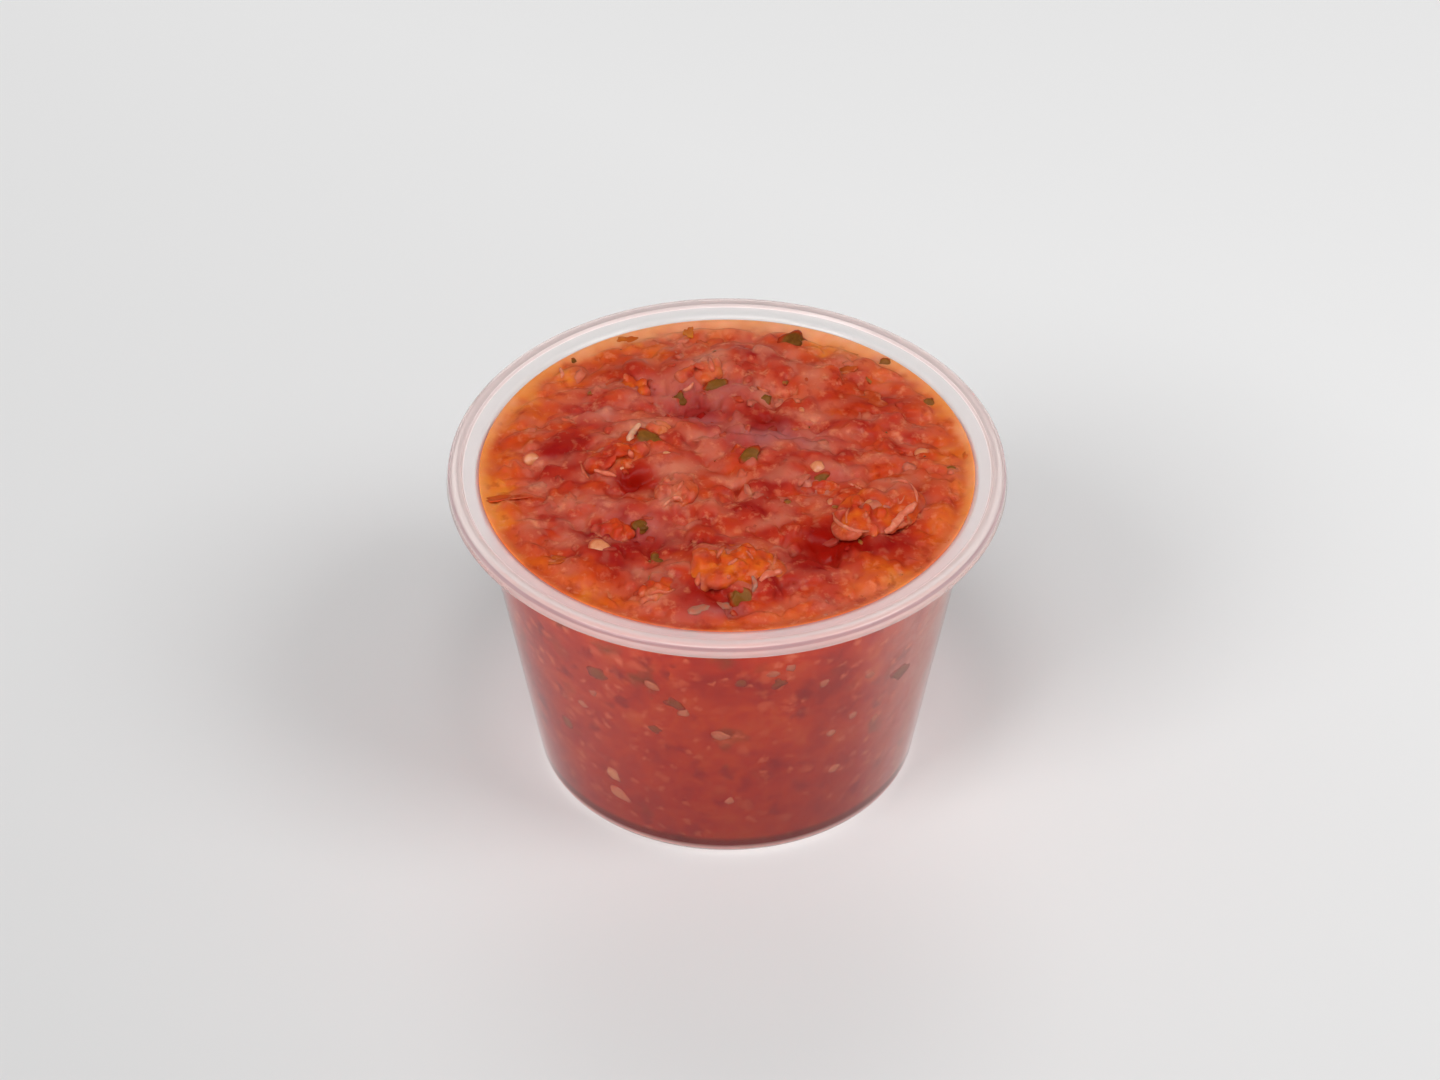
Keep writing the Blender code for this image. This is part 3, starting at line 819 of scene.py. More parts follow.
def herb_material():
    """Torn coriander and green chilli: dark leaf green to olive."""
    made, tree = new_material("green_herb", Roughness=0.3, IOR=1.36, Specular_IOR_Level=0.15)
    colour = bit_colour(tree, 0.9, HERB_TINTS, linear(164, 46, 18), 0.7, 0.0)
    return painted(made, colour, noise_at(tree, 0.3, 4.0), 0.5, 0.12)


def plastic_material(name, haze, roughness, colour, far_shade_colour=None):
    """Clear moulded plastic, of which haze is the share that scatters light like milk."""
    made, tree = new_material(
        name,
        Base_Color=(*linear(*colour), 1.0),
        Roughness=roughness,
        IOR=1.42,
        Transmission_Weight=1.0 - haze,
    )
    tint = None
    # Towards the far side the colour goes darker: painted shade.
    if far_shade_colour:
        far = spread(tree, own_place(tree, "Y"), -20.0 * MM, 30.0 * MM)
        tint = mixed(tree, far, linear(*colour), linear(*far_shade_colour))
    return painted(made, tint, noise_at(tree, 9.0, 1.0), 0.1, 0.3)


# Meshes


def plain_object(name, points, faces):
    """An object of these points and faces, linked to the scene."""
    mesh = bpy.data.meshes.new(name)
    mesh.from_pydata([tuple(p) for p in points], [], faces)
    mesh.update()
    made = bpy.data.objects.new(name, mesh)
    bpy.context.scene.collection.objects.link(made)
    return made


def give_attribute(mesh, name, values):
    """Stores one number for each point of a mesh."""
    layer = mesh.attributes.new(name, "FLOAT", "POINT")
    layer.data.foreach_set("value", np.asarray(values, np.float32))


def finish_piece(piece, slot, *replaced):
    """Puts a finished piece on the one body, and hides the imported parts that it stands for. The slot is
    not used.
    """
    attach(piece, "root")
    if replaced:
        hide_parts(*replaced)


def plastic_at(middle):
    """Which plastic a face of the cup has: 0 clear, 1 rim, 2 lip, 3 foot and ledge, 4 shaded lip."""
    out = math.hypot(middle.x, middle.y)
    drop = CUP_HEIGHT - middle.z
    if middle.z < FOOT_MILK_TOP:
        return 3
    if out > LEDGE_OUTER_RADIUS + LEDGE_MARGIN:
        return 4 if LIP_SHADE_TOP < drop < LIP_SHADE_FOOT else 2
    if out > LEDGE_INNER_RADIUS - LEDGE_MARGIN:
        return 3
    return 1 if drop < RIM_MILK_DROP else 0


def make_cup(turning):
    """The thin clear cup: an outline turned round the axis, then given its wall."""
    corners = (
        (RIM_RADIUS, CUP_HEIGHT - SKIRT_DROP, 0.0, 0),
        (LIP_RADIUS, CUP_HEIGHT, LIP_ROUND, 6),
        (LEDGE_OUTER_RADIUS, CUP_HEIGHT, LEDGE_ROUND, 2),
        (LEDGE_INNER_RADIUS, CUP_HEIGHT - LEDGE_DROP, LEDGE_ROUND, 2),
        *inner_face(),
    )
    outline = rounded(corners)
    mesh = bpy.data.meshes.new("cup_outline")
    steps = [(i, i + 1) for i in range(len(outline) - 1)]
    mesh.from_pydata([(r, 0.0, z) for r, z in outline], steps, [])
    plastics = [plastic_material(*row) for row in PLASTICS]
    values = {"Radius": RIM_RADIUS, "Spokes": CUP_SPOKES, "Material": plastics[0]}
    cup = grown("clear_cup", mesh, turning, values)
    for plastic in plastics[1:]:
        cup.data.materials.append(plastic)
    for face in cup.data.polygons:
        face.material_index = plastic_at(face.center)
    cup.visible_shadow = False
    wall = cup.modifiers.new("Wall", "SOLIDIFY")
    wall.thickness = SHELL
    wall.offset = 1.0
    wall.use_even_offset = True
    finish_piece(cup, "clear_plastic", "cup")


def swell(x, y, place):
    """The rise at x, y of one swell or hollow, for arrays."""
    cx, cy, length, width, turn, rise = place
    c = math.cos(math.radians(turn))
    s = math.sin(math.radians(turn))
    dx = x - cx * MM
    dy = y - cy * MM
    along = (dx * c + dy * s) / (length * MM / 2)
    across = (dy * c - dx * s) / (width * MM / 2)
    return rise * MM * np.exp(-(along * along + across * across))


def patches(x, y, places):
    """How strongly soft patches cover x, y, for arrays: x, y, length, width and strength of each."""
    rounds = ((cx, cy, length, width, 0.0, strength) for cx, cy, length, width, strength in places)
    return sum(swell(x, y, place) for place in rounds) / MM


def noise_field(x, y, pitch, layer=0.0):
    """Smooth noise from -1 to 1 over arrays of x and y, its pitch in millimetres."""
    step = pitch * MM
    return np.array([noise.noise((a / step, b / step, layer)) for a, b in zip(x, y)])


def relief(x, y):
    """The height of the salad's surface over its level at the wall, as in the solid, for arrays."""
    r = np.hypot(x, y)
    shore = smooth((SHORE_RADIUS - r) / SHORE_WIDTH)
    mound = MOUND_HEIGHT * (1.0 - (r / MOUND_RADIUS) ** 2)
    spots = [Vector((a, b, 0.0)) for a, b in zip(x, y)]
    lumps = np.array([noise.fractal(spot / LUMP_WIDTH, 0.9, 2.0, 3) for spot in spots])
    pulp = np.array([noise.noise(spot / PULP_WIDTH) for spot in spots])
    named = sum(swell(x, y, place) for place in SWELLS)
    heap = mound + LUMP_HEIGHT * lumps + PULP_HEIGHT * pulp + named
    edge = smooth((SHORE_RADIUS - r) / EDGE_WIDTH)
    return shore * heap + edge * EDGE_RIPPLE * pulp


def strew(x, y, ground, height, shown, chops):
    """Chopped bits laid over the ground: raises height to them, and notes which one shows."""
    count, smallest, largest, thickness, tilt, proud, seed = chops
    rng = np.random.default_rng(seed)
    for _ in range(count):
        spread_out = SHORE_RADIUS * math.sqrt(rng.random())
        heading, turn, lean, *phase = rng.uniform(0.0, math.tau, 6)
        size = (smallest + (largest - smallest) * rng.random() ** 2) * MM
        slim = rng.uniform(0.45, 0.95)
        rise = rng.uniform(-proud, proud) * MM
        slope = rng.uniform(0.0, tilt)
        dx = x - spread_out * math.cos(heading)
        dy = y - spread_out * math.sin(heading)
        near = np.nonzero((np.abs(dx) < 1.4 * size) & (np.abs(dy) < 1.4 * size))[0]
        if len(near) == 0:
            continue
        dx, dy = dx[near], dy[near]
        u = (dx * math.cos(turn) + dy * math.sin(turn)) / size
        v = (dy * math.cos(turn) - dx * math.sin(turn)) / (size * slim)
        angle = np.arctan2(v, u)
        edge = 1 + 0.17 * np.sin(2 * angle + phase[0]) + 0.13 * np.sin(3 * angle + phase[1])
        share = np.hypot(u, v) / (edge + 0.08 * np.sin(5 * angle + phase[2]))
        level = 0.6 * ground[near].mean() + 0.4 * ground[near] + rise
        level += slope * (dx * math.cos(lean) + dy * math.sin(lean))
        level += thickness * size * (1.0 - share**3)
        over = (share < 1.0) & (level > height[near])
        height[near[over]] = level[over]
        shown[near[over]] = rng.random()


def softened(values, times_over):
    """Values on the top's square grid, each averaged with its neighbours a few times."""
    grid = values.reshape(TOP_CELLS + 1, TOP_CELLS + 1)
    for _ in range(times_over):
        wide = np.pad(grid, 1, mode="edge")
        along = wide[:-2, 1:-1] + wide[2:, 1:-1]
        across = wide[1:-1, :-2] + wide[1:-1, 2:]
        grid = 0.5 * grid + 0.125 * (along + across)
    return grid.ravel()


def disk_grid(count):
    """A square grid of count by count cells, bent to a disk of radius 1."""
    side = np.linspace(-1.0, 1.0, count + 1)
    a, b = (grid.ravel() for grid in np.meshgrid(side, side, indexing="ij"))
    wide = np.abs(a) > np.abs(b)
    reach = np.where(wide, a, b)
    safe = np.where(reach == 0.0, 1.0, reach)
    turn = np.where(wide, math.pi / 4 * b / safe, math.pi / 2 - math.pi / 4 * a / safe)
    return reach * np.cos(turn), reach * np.sin(turn)


def rim_of_grid(count):
    """The grid's outermost points in order, anticlockwise."""
    row = count + 1
    right = [count * row + j for j in range(count)]
    far = [i * row + count for i in range(count, 0, -1)]
    left = list(range(count, 0, -1))
    return right + far + left + [i * row for i in range(count)]


def mash_top(x, y, from_wall, inland):
    """The top's heights, which chop shows, how bare it lies, and how deep it is under the juice."""
    ground = relief(x, y)
    floor = ground - CHOP_FLOOR
    solid = floor.copy()
    shown = np.full(len(x), 0.5)
    for chops in CHOPS:
        strew(x, y, ground, solid, shown, chops)
    solid = floor + (softened(solid, 3) - floor) * smooth((from_wall - 0.3 * MM) / (3.0 * MM))
    juice = ground + MM * (JUICE_RISE - JUICE_FALL * inland)
    bare = smooth(0.5 + (solid - juice) / JUICE_BLEND)
    height = juice + (solid - juice) * bare
    climb = smooth(from_wall / MENISCUS_WIDTH)
    height += climb * ((MENISCUS - SHORE_DROP) * (1.0 - inland) - MENISCUS)
    height[from_wall < 1e-6] = 0.0
    return height, shown, bare, juice - solid


def mash_colours(x, y, from_wall, inland, shown, bare, under):
    """What the top's colours follow: how ripe and pale each place is, how deep for its painted shade, how
    thin the juice is for its painted light, where painted sheen lies, and how frothy.
    """
    centred = smooth(from_wall / (9.0 * MM))
    side = y / SHORE_RADIUS
    ripe = 0.32 + 0.34 * centred + 0.16 * smooth(-side) + 0.22 * (shown - 0.5) * bare
    ripe += 0.3 * noise_field(x, y, 9.0, 5.0)
    often = 0.3 + 0.7 * centred
    smeared = np.clip(0.9 * noise_field(x, 2.0 * y, 4.6, 21.0), -0.16, 0.7)
    pale = (np.clip((shown - 0.8) * 3.0, 0.0, 0.5) * bare + smeared) * often
    pale += 0.16 + 0.12 * np.clip(side, 0.0, 1.0)
    # How thin the juice is along the wall; the material paints it paler, partly as light that comes
    # through the wall.
    ragged = 1.0 + 0.55 * noise_field(x, y, 3.4, 41.0) + 0.4 * noise_field(x, y, 1.4, 43.0)
    band = np.where(y > 0.0, 1.5 + 3.8 * side**4, 1.5 - side**2) * ragged * MM
    thin = 0.9 * (1.0 - smooth((from_wall - 0.3 * MM) / band)) * (0.62 + 0.34 * ragged)
    thin *= 1.0 - 0.65 * smooth(-1.6 * side)
    # Darkness by depth: painted shade in the hollows, and the red of deep juice where bits lie under it.
    hollow = -sum(np.minimum(0.0, swell(x, y, place)) for place in SWELLS)
    sunk = hollow / (3.4 * MM) + smooth(under / JUICE_BLEND) * 0.35 * inland
    wander_x = x + 1.6 * MM * noise_field(x, y, 3.0, 11.0)
    wander_y = y + 1.6 * MM * noise_field(x, y, 3.0, 13.0)
    # Patches shift the ripeness, and darken and dim it with painted shade.
    for px, py, radius, riper, painted_shade in COLOUR_PATCHES:
        apart = (wander_x - px * MM) ** 2 + (wander_y - py * MM) ** 2
        near = np.exp(-apart / (radius * MM) ** 2 * 1.6)
        ripe += riper * near
        sunk += 1.15 * painted_shade * near
        pale -= 0.8 * painted_shade * near
    compass = np.degrees(np.arctan2(y, x))
    froth = smooth((from_wall - 0.2 * MM) / MM) * (1.0 - smooth((from_wall - 1.0 * MM) / (3.5 * MM)))
    froth *= np.exp(-(((compass + 60.0) / 22.0) ** 2))
    froth *= np.clip(0.5 + 1.2 * noise_field(x, y, 2.0, 31.0), 0, 1)
    pale += patches(wander_x, wander_y, PALE_PATCHES) + 0.5 * froth
    # Smears of painted sheen.
    painted_sheen = patches(wander_x, wander_y, SHEEN_PATCHES)
    return dict(ripe=ripe, pale=pale, sunk=sunk, thin=thin, painted_sheen=painted_sheen, froth=froth, rough=inland)


def make_pulp(top_material, wall_material):
    """The mash: one body out to the cup's wall, with a chopped, juicy top."""
    unit_x, unit_y = disk_grid(TOP_CELLS)
    x = unit_x * SHORE_RADIUS
    y = unit_y * SHORE_RADIUS
    from_wall = SHORE_RADIUS - np.hypot(x, y)
    inland = smooth(from_wall / (1.5 * SHORE_WIDTH))
    height, shown, bare, under = mash_top(x, y, from_wall, inland)
    points = list(zip(x, y, LEVEL + height))
    row = TOP_CELLS + 1
    corners = [i * row + j for i in range(TOP_CELLS) for j in range(TOP_CELLS)]
    faces = [(k, k + row, k + row + 1, k + 1) for k in corners]
    ring = rim_of_grid(TOP_CELLS)
    around = [(x[k] / SHORE_RADIUS, y[k] / SHORE_RADIUS) for k in ring]
    side = rounded(((SHORE_RADIUS, LEVEL, 0.0, 0), *inner_face(INTO_WALL, 4)[1:]))
    rows = [side[0].lerp(side[1], k / 4) for k in range(1, 4)] + side[1:-1]
    for radius, z in rows:
        below = [len(points) + k for k in range(len(ring))]
        points += [(c * radius, s * radius, z) for c, s in around]
        faces += [(ring[k - 1], below[k - 1], below[k], ring[k]) for k in range(len(ring))]
        ring = below
    centre = len(points)
    points.append((0.0, 0.0, side[-1].y))
    faces += [(ring[k - 1], centre, ring[k]) for k in range(len(ring))]
    pulp = plain_object("tomato_pulp", points, faces)
    mesh = pulp.data
    mesh.materials.append(top_material)
    mesh.materials.append(wall_material)
    mesh.polygons.foreach_set("material_index", [int(k >= len(corners)) for k in range(len(faces))])
    mesh.shade_smooth()
    for name, values in mash_colours(x, y, from_wall, inland, shown, bare, under).items():
        values = softened(np.clip(values, 0.0, 0.95), 2)
        give_attribute(mesh, name, np.concatenate([values, np.zeros(len(points) - len(x))]))
    finish_piece(pulp, "tomato_salad", "salad")
    return pulp


def ball(detail):
    """Points and faces of an even ball of radius 0.5."""
    bm = bmesh.new()
    bmesh.ops.create_icosphere(bm, subdivisions=detail, radius=0.5)
    points = np.array([vertex.co[:] for vertex in bm.verts])
    faces = [[vertex.index for vertex in face.verts] for face in bm.faces]
    bm.free()
    return points, faces


def clump(lumps, voxel):
    """Lumps run together into one torn, bumpy piece. Each is (centre, radii, lean)."""
    ball_points, ball_faces = ball(2)
    points, faces = [], []
    for centre, radii, lean in lumps:
        place = Matrix.Translation(centre) @ lean.to_matrix().to_4x4()
        faces += [[len(points) + k for k in face] for face in ball_faces]
        points += [place @ Vector(2 * p * np.array(radii)) for p in ball_points]
    holder = plain_object("lumps", points, faces)
    joined = holder.modifiers.new("Joined", "REMESH")
    joined.mode = "VOXEL"
    joined.voxel_size = voxel
    eased = holder.modifiers.new("Eased", "SMOOTH")
    eased.iterations = 2
    made = holder.evaluated_get(bpy.context.evaluated_depsgraph_get()).to_mesh()
    out = np.array([vertex.co[:] for vertex in made.vertices])
    skin = [list(face.vertices) for face in made.polygons]
    mesh = holder.data
    bpy.data.objects.remove(holder, do_unlink=True)
    bpy.data.meshes.remove(mesh)
    return out, skin


def torn_piece(size, graininess, seed):
    """A torn piece of tomato: soft lobes with grains of flesh on them."""
    rng = random.Random(seed)
    length, width, thick = size
    lumps = [(Vector((0.0, 0.0, 0.0)), (0.46 * length, 0.45 * width, 0.24 * thick), Euler())]
    for k in range(8):
        along = (k / 7 - 0.5) * 0.76
        slim = math.sqrt(1.0 - (1.6 * along) ** 2 * 0.6)
        across = rng.uniform(-0.2, 0.2) * width * slim
        spot = Vector((along * length, across, rng.uniform(-0.08, 0.10) * thick))
        long_radius = rng.uniform(0.13, 0.20) * length
        wide_radius = rng.uniform(0.24, 0.36) * width * slim
        radii = (long_radius, wide_radius, rng.uniform(0.24, 0.36) * thick)
        lean = Euler((rng.uniform(-0.4, 0.4), rng.uniform(-0.4, 0.4), rng.uniform(-0.9, 0.9)))
        lumps.append((spot, radii, lean))
    for _ in range(int(8 + 90 * graininess)):
        turn = rng.uniform(0.0, math.tau)
        rise = rng.uniform(-0.2, 1.0)
        flat = math.sqrt(max(0.0, 1.0 - rise * rise)) * rng.uniform(0.75, 1.0)
        spot = Vector((math.cos(turn) * flat * length, math.sin(turn) * flat * width, rise * thick)) * 0.4
        grain = rng.uniform(0.4, 0.8) * MM
        lean = Euler((rng.uniform(-0.6, 0.6), rng.uniform(-0.6, 0.6), rng.uniform(0.0, math.pi)))
        lumps.append((spot, (grain * rng.uniform(1.0, 1.7), grain, grain * 0.6), lean))
    points, faces = clump(lumps, PIECE_VOXEL)
    shift = Vector((seed * 0.37, 0.0, seed * 0.71))
    rough = np.array([noise.noise_vector(Vector(p) / (1.1 * MM) + shift)[:] for p in points])
    return points + rough * 0.14 * MM, faces


def relief_at(x, y):
    """The relief's height at one place."""
    return float(relief(np.array([x]), np.array([y]))[0])


def tilt_at(x, y, reach):
    """The rotation that lays a piece on the relief round x, y, with its own X kept to the right."""
    slope_x = (relief_at(x + reach, y) - relief_at(x - reach, y)) / (2 * reach)
    slope_y = (relief_at(x, y + reach) - relief_at(x, y - reach)) / (2 * reach)
    right = Vector((1.0, 0.0, slope_x)).normalized()
    up = Vector((-slope_x, -slope_y, 1.0)).normalized()
    return Matrix((right, up.cross(right), up)).transposed().to_4x4()


class Gathered:
    """Shapes gathered into one mesh, each point with its attributes."""

    def __init__(self):
        self.points, self.faces, self.values = [], [], {}

    def add(self, shape, place, **values):
        points, faces = shape
        start = len(self.points)
        self.points += [place @ Vector(p) for p in points]
        self.faces += [[start + k for k in face] for face in faces]
        for name, value in values.items():
            filled = np.broadcast_to(np.asarray(value, float), len(points))
            self.values.setdefault(name, []).extend(filled)

    def as_piece(self, name, material):
        made = plain_object(name, self.points, self.faces)
        made.data.materials.append(material)
        made.data.shade_smooth()
        for label, values in self.values.items():
            give_attribute(made.data, label, values)
        finish_piece(made, "tomato_salad")
        return made


def make_tomato_pieces(material, salad_tree):
    """The larger pieces that stand out of the mash, and strips of skin that lie flat."""
    gathered = Gathered()
    for number, row in enumerate(TOMATO_PIECES):
        x, y, length, width, thick, turn, lift, graininess, ripe = row
        x, y = x * MM, y * MM
        size = [side * MM for side in (length, width, thick)]
        points, faces = torn_piece(size, graininess, FIRST_PIECE_SEED + number)
        rise = relief_at(x, y) + (lift - 0.85) * MM
        lying = tilt_at(x, y, size[0] / 2) @ Matrix.Rotation(math.radians(turn), 4, "Z")
        place = Matrix.Translation((x, y, LEVEL + rise)) @ lying
        rim = np.hypot(points[:, 0] / size[0], points[:, 1] / size[1]) * 2
        own = np.array([noise.noise(Vector(p) / (1.6 * MM)) for p in points])
        ripe = np.clip(ripe + 0.35 * own, 0.0, 1.0)
        laid = np.array([(place @ Vector(p))[:] for p in points])
        # Paler towards the outline: partly the flesh's own pale edge, partly painted highlight where the
        # edges glisten.
        pale = np.clip((rim - 0.85) * 0.8 + 0.1 + 0.4 * own, 0.0, 0.6)
        pale = np.clip(pale + patches(laid[:, 0], laid[:, 1], PALE_PATCHES), 0.0, 0.9)
        # Darker on the underside: painted shade.
        low = np.clip(-points[:, 2] / size[2] * 1.6, 0.0, 0.7)
        gathered.add((points, faces), place, ripe=ripe, pale=pale, sunk=low)
    for px, py, length, width, turn, ripe in SKIN_STRIPS:
        spot, normal = seen_at((px, py), salad_tree)
        strip = scrap_shape(px * 0.7)
        size = Matrix.Diagonal((length * MM / 1.1, width * MM / 0.8, 0.6 * MM, 1.0))
        place = facing(spot - normal * 0.05 * MM, normal, turn) @ size
        gathered.add(strip, place, ripe=ripe, pale=0.05, sunk=0.1)
    return gathered.as_piece("tomato_pieces", material)


def ridge_shape(path, ups, width):
    """A thin raised edge along a path: a tube that swells and thins, drawn out at its ends."""
    points, faces = [], []
    last = len(path) - 1
    for k, (spot, up) in enumerate(zip(path, ups)):
        ahead = (path[min(k + 1, last)] - path[max(k - 1, 0)]).normalized()
        right = ahead.cross(up).normalized()
        full = 0.5 * width * math.sin(math.pi * (0.06 + 0.88 * k / last)) ** 0.5
        full *= 1.0 + 0.5 * noise.noise(spot / (0.8 * MM))
        rise = right.cross(ahead) * min(full, 0.55 * MM - 0.2 * width)
        for n in range(8):
            turn = math.tau * n / 8
            points.append(spot + right * math.cos(turn) * full + rise * math.sin(turn))
    for k in range(0, 8 * last, 8):
        for n in range(8):
            m = (n + 1) % 8
            faces.append([k + n, k + m, k + 8 + m, k + 8 + n])
    faces.append(list(range(7, -1, -1)))
    faces.append([8 * last + n for n in range(8)])
    return points, faces


def make_pale_edges(material, top_tree):
    """The pale edges that show, each along its course on what the camera sees there."""
    gathered = Gathered()
    for course, width, white in PALE_EDGES:
        laid = []
        for (ax, ay), (bx, by) in zip(course, course[1:]):
            shares = (step / 5 for step in range(5))
            laid += [seen_at((ax + (bx - ax) * s, ay + (by - ay) * s), top_tree) for s in shares]
        spots, ups = (list(kind) for kind in zip(*laid))
        for _ in range(3):
            inner = [(a + 2 * b + c) / 4 for a, b, c in zip(spots, spots[1:], spots[2:])]
            spots = [spots[0], *inner, spots[-1]]
            inner = [(a + b + c).normalized() for a, b, c in zip(ups, ups[1:], ups[2:])]
            ups = [ups[0], *inner, ups[-1]]
        path = [spot - up * 0.06 * width * MM for spot, up in zip(spots, ups)]
        # Each edge's tint is how white it is, partly painted highlight.
        gathered.add(ridge_shape(path, ups, width * MM), Matrix.Identity(4), tint=white)
    gathered.as_piece("pale_edges", material)


def seed_shape(detail=12, phase=0.0):
    """A flat tomato seed 1 long, drawn to a point at one end, its outline a little uneven."""
    bm = bmesh.new()
    bmesh.ops.create_uvsphere(bm, u_segments=detail, v_segments=detail // 2 + 1, radius=0.5)
    points = []
    for vertex in bm.verts:
        x, y, z = vertex.co
        tip = max(0.0, x)
        uneven = 1.0 + 0.55 * noise.noise(vertex.co * 1.9 + Vector((phase, -phase, 0.0)))
        points.append((x * uneven, y * 0.7 * (1.0 - 0.75 * tip) * uneven, z * 0.34 * (1.0 - 0.5 * tip)))
    faces = [[vertex.index for vertex in face.verts] for face in bm.faces]
    bm.free()
    return np.array(points), faces


def scrap_shape(phase, across=13, thick=0.3):
    """A torn, wavy scrap of skin 1 long: two faces alike and a rim."""
    steps = np.linspace(-0.5, 0.5, across)
    upper = []
    for a in steps:
        for b in steps:
            angle = math.atan2(b, a)
            ragged = 0.82 + 0.18 * math.sin(3 * angle + phase) + 0.1 * math.sin(7 * angle - 2 * phase)
            squared = max(abs(a), abs(b)) / max(1e-9, math.hypot(a, b))
            x = a * squared * ragged * 1.15
            y = b * squared * ragged * 0.85
            upper.append((x, y, 0.11 * math.sin(5 * x + phase) + 0.08 * math.sin(7 * y - phase)))
    count = across * across
    points = [(x, y, z + thick / 2) for x, y, z in upper] + [(x, y, z - thick / 2) for x, y, z in upper]
    faces = []
    for k in (i * across + j for i in range(across - 1) for j in range(across - 1)):
        faces.append([k, k + across, k + across + 1, k + 1])
        faces.append([count + k, count + k + 1, count + k + across + 1, count + k + across])
    rim = rim_of_grid(across - 1)
    for k, here in enumerate(rim):
        back = rim[k - 1]
        faces.append([back, count + back, count + here, here])
    return np.array(points), faces


def eye_matrix():
    """Where the photograph's camera stood, and which way it looked."""
    reach = EYE_DISTANCE * math.cos(EYE_ELEVATION)
    place = Vector((0.0, -reach, CUP_HEIGHT + EYE_DISTANCE * math.sin(EYE_ELEVATION)))
    tilt = EYE_ELEVATION + math.atan((PHOTO_HEIGHT / 2 - RIM_CENTRE_PIXEL[1]) / FOCAL)
    pan = math.atan((RIM_CENTRE_PIXEL[0] - PHOTO_WIDTH / 2) / FOCAL)
    return Matrix.Translation(place) @ Euler((math.pi / 2 - tilt, 0.0, pan)).to_matrix().to_4x4()


def seen_at(pixel, tree):
    """Where the line of sight through a pixel meets the salad, and the way it faces there."""
    eye = eye_matrix()
    ray = Vector((pixel[0] - PHOTO_WIDTH / 2, PHOTO_HEIGHT / 2 - pixel[1], -FOCAL))
    return tree.ray_cast(eye.translation, (eye.to_3x3() @ ray).normalized())[:2]


def half_to_eye(spot, normal):
    """A way between straight up from the surface and towards the camera."""
    return (normal + (eye_matrix().translation - spot).normalized()).normalized()


def facing(spot, normal, turn):
    """The place of a thing that lies at spot, faces along normal and is turned, in degrees."""
    right = Vector((1.0, 0.0, 0.0))
    right = (right - normal * right.dot(normal)).normalized()
    lying = Matrix((right, normal.cross(right), normal)).transposed().to_4x4()
    return Matrix.Translation(spot) @ lying @ Matrix.Rotation(math.radians(turn), 4, "Z")


def from_rim(points):
    """0 at the outline of a flat bit and 1 over its middle, for each of its points."""
    reach = np.abs(points[:, :2]).max(0)
    share = np.hypot(points[:, 0] / reach[0], points[:, 1] / reach[1])
    return 1.0 - smooth((share - 0.5) / 0.45)


def lay_by_pixel(gathered, places, lie, shape_of, tree, rng):
    """Lays a shape at each pixel of a list, on what the camera sees there."""
    lift, flatness, tints, drowned, clear = lie
    for number, (px, py, length, turn) in enumerate(places):
        spot, normal = seen_at((px, py), tree)
        size = Matrix.Diagonal((length * MM, length * MM * 1.15, length * MM * flatness, 1.0))
        way = half_to_eye(spot, normal) if lift else normal
        place = facing(spot + normal * (lift * MM), way, turn) @ size
        points, faces = shape_of(number)
        bare = 1.0
        if length < clear:
            bare = 0.6 * smooth((length - drowned) / (clear - drowned)) + 0.3
        tint = rng.uniform(*tints)
        gathered.add((points, faces), place, tint=tint, clear=bare * from_rim(points))


def joined_tree(*pieces):
    """A tree for casting lines of sight on several pieces at once."""
    points, faces = [], []
    for piece in pieces:
        start = len(points)
        points += [vertex.co.copy() for vertex in piece.data.vertices]
        faces += [[start + k for k in face.vertices] for face in piece.data.polygons]
    return BVHTree.FromPolygons(points, faces)


def shape_collection(name, shapes):
    """A collection of shapes for a scattering tree, outside the scene."""
    made = bpy.data.collections.new(name)
    for number, (points, faces) in enumerate(shapes):
        mesh = bpy.data.meshes.new(f"{name}_{number}")
        mesh.from_pydata([tuple(p) for p in points], [], faces)
        mesh.shade_smooth()
        give_attribute(mesh, "clear", from_rim(points))
        made.objects.link(bpy.data.objects.new(f"{name}_{number}", mesh))
    return made


def top_of(pulp):
    """A copy of the mash's top faces, which scattered things lie on."""
    bm = bmesh.new()
    bm.from_mesh(pulp.data)
    behind_wall = [face for face in bm.faces if face.material_index == 1]
    bmesh.ops.delete(bm, geom=behind_wall, context="FACES")
    mesh = bpy.data.meshes.new("salad_top")
    bm.to_mesh(mesh)
    bm.free()
    return mesh


def scatter(row, pulp, tree, shapes, material):
    """Strews shapes over the mash with the scattering tree."""
    name, spacing, density, smallest, largest, tilt, lift, seed, where = row
    drawn = shape_collection(name + "_shapes", shapes)
    values = {"Shapes": drawn, "Material": material, "Where": where, "Seed": seed}
    values.update(Spacing=spacing * MM, Density=density, Tilt=tilt, Lift=lift * MM)
    values.update(Smallest=smallest * MM, Largest=largest * MM)
    made = grown(name, top_of(pulp), tree, values)
    for shape in list(drawn.objects):
        bpy.data.objects.remove(shape, do_unlink=True)
    bpy.data.collections.remove(drawn)
    made.data.shade_smooth()
    finish_piece(made, "tomato_salad")


def unit_bit(phase, detail=2):
    """A chopped bit about 1 across."""
    points, faces = ball(detail)
    push = np.array([noise.noise(Vector(p) * 2.2 + Vector((phase, 0.0, -phase))) for p in points])
    return points * (1.0 + 0.8 * push)[:, None] * np.array((1.3, 0.85, 0.42)), faces


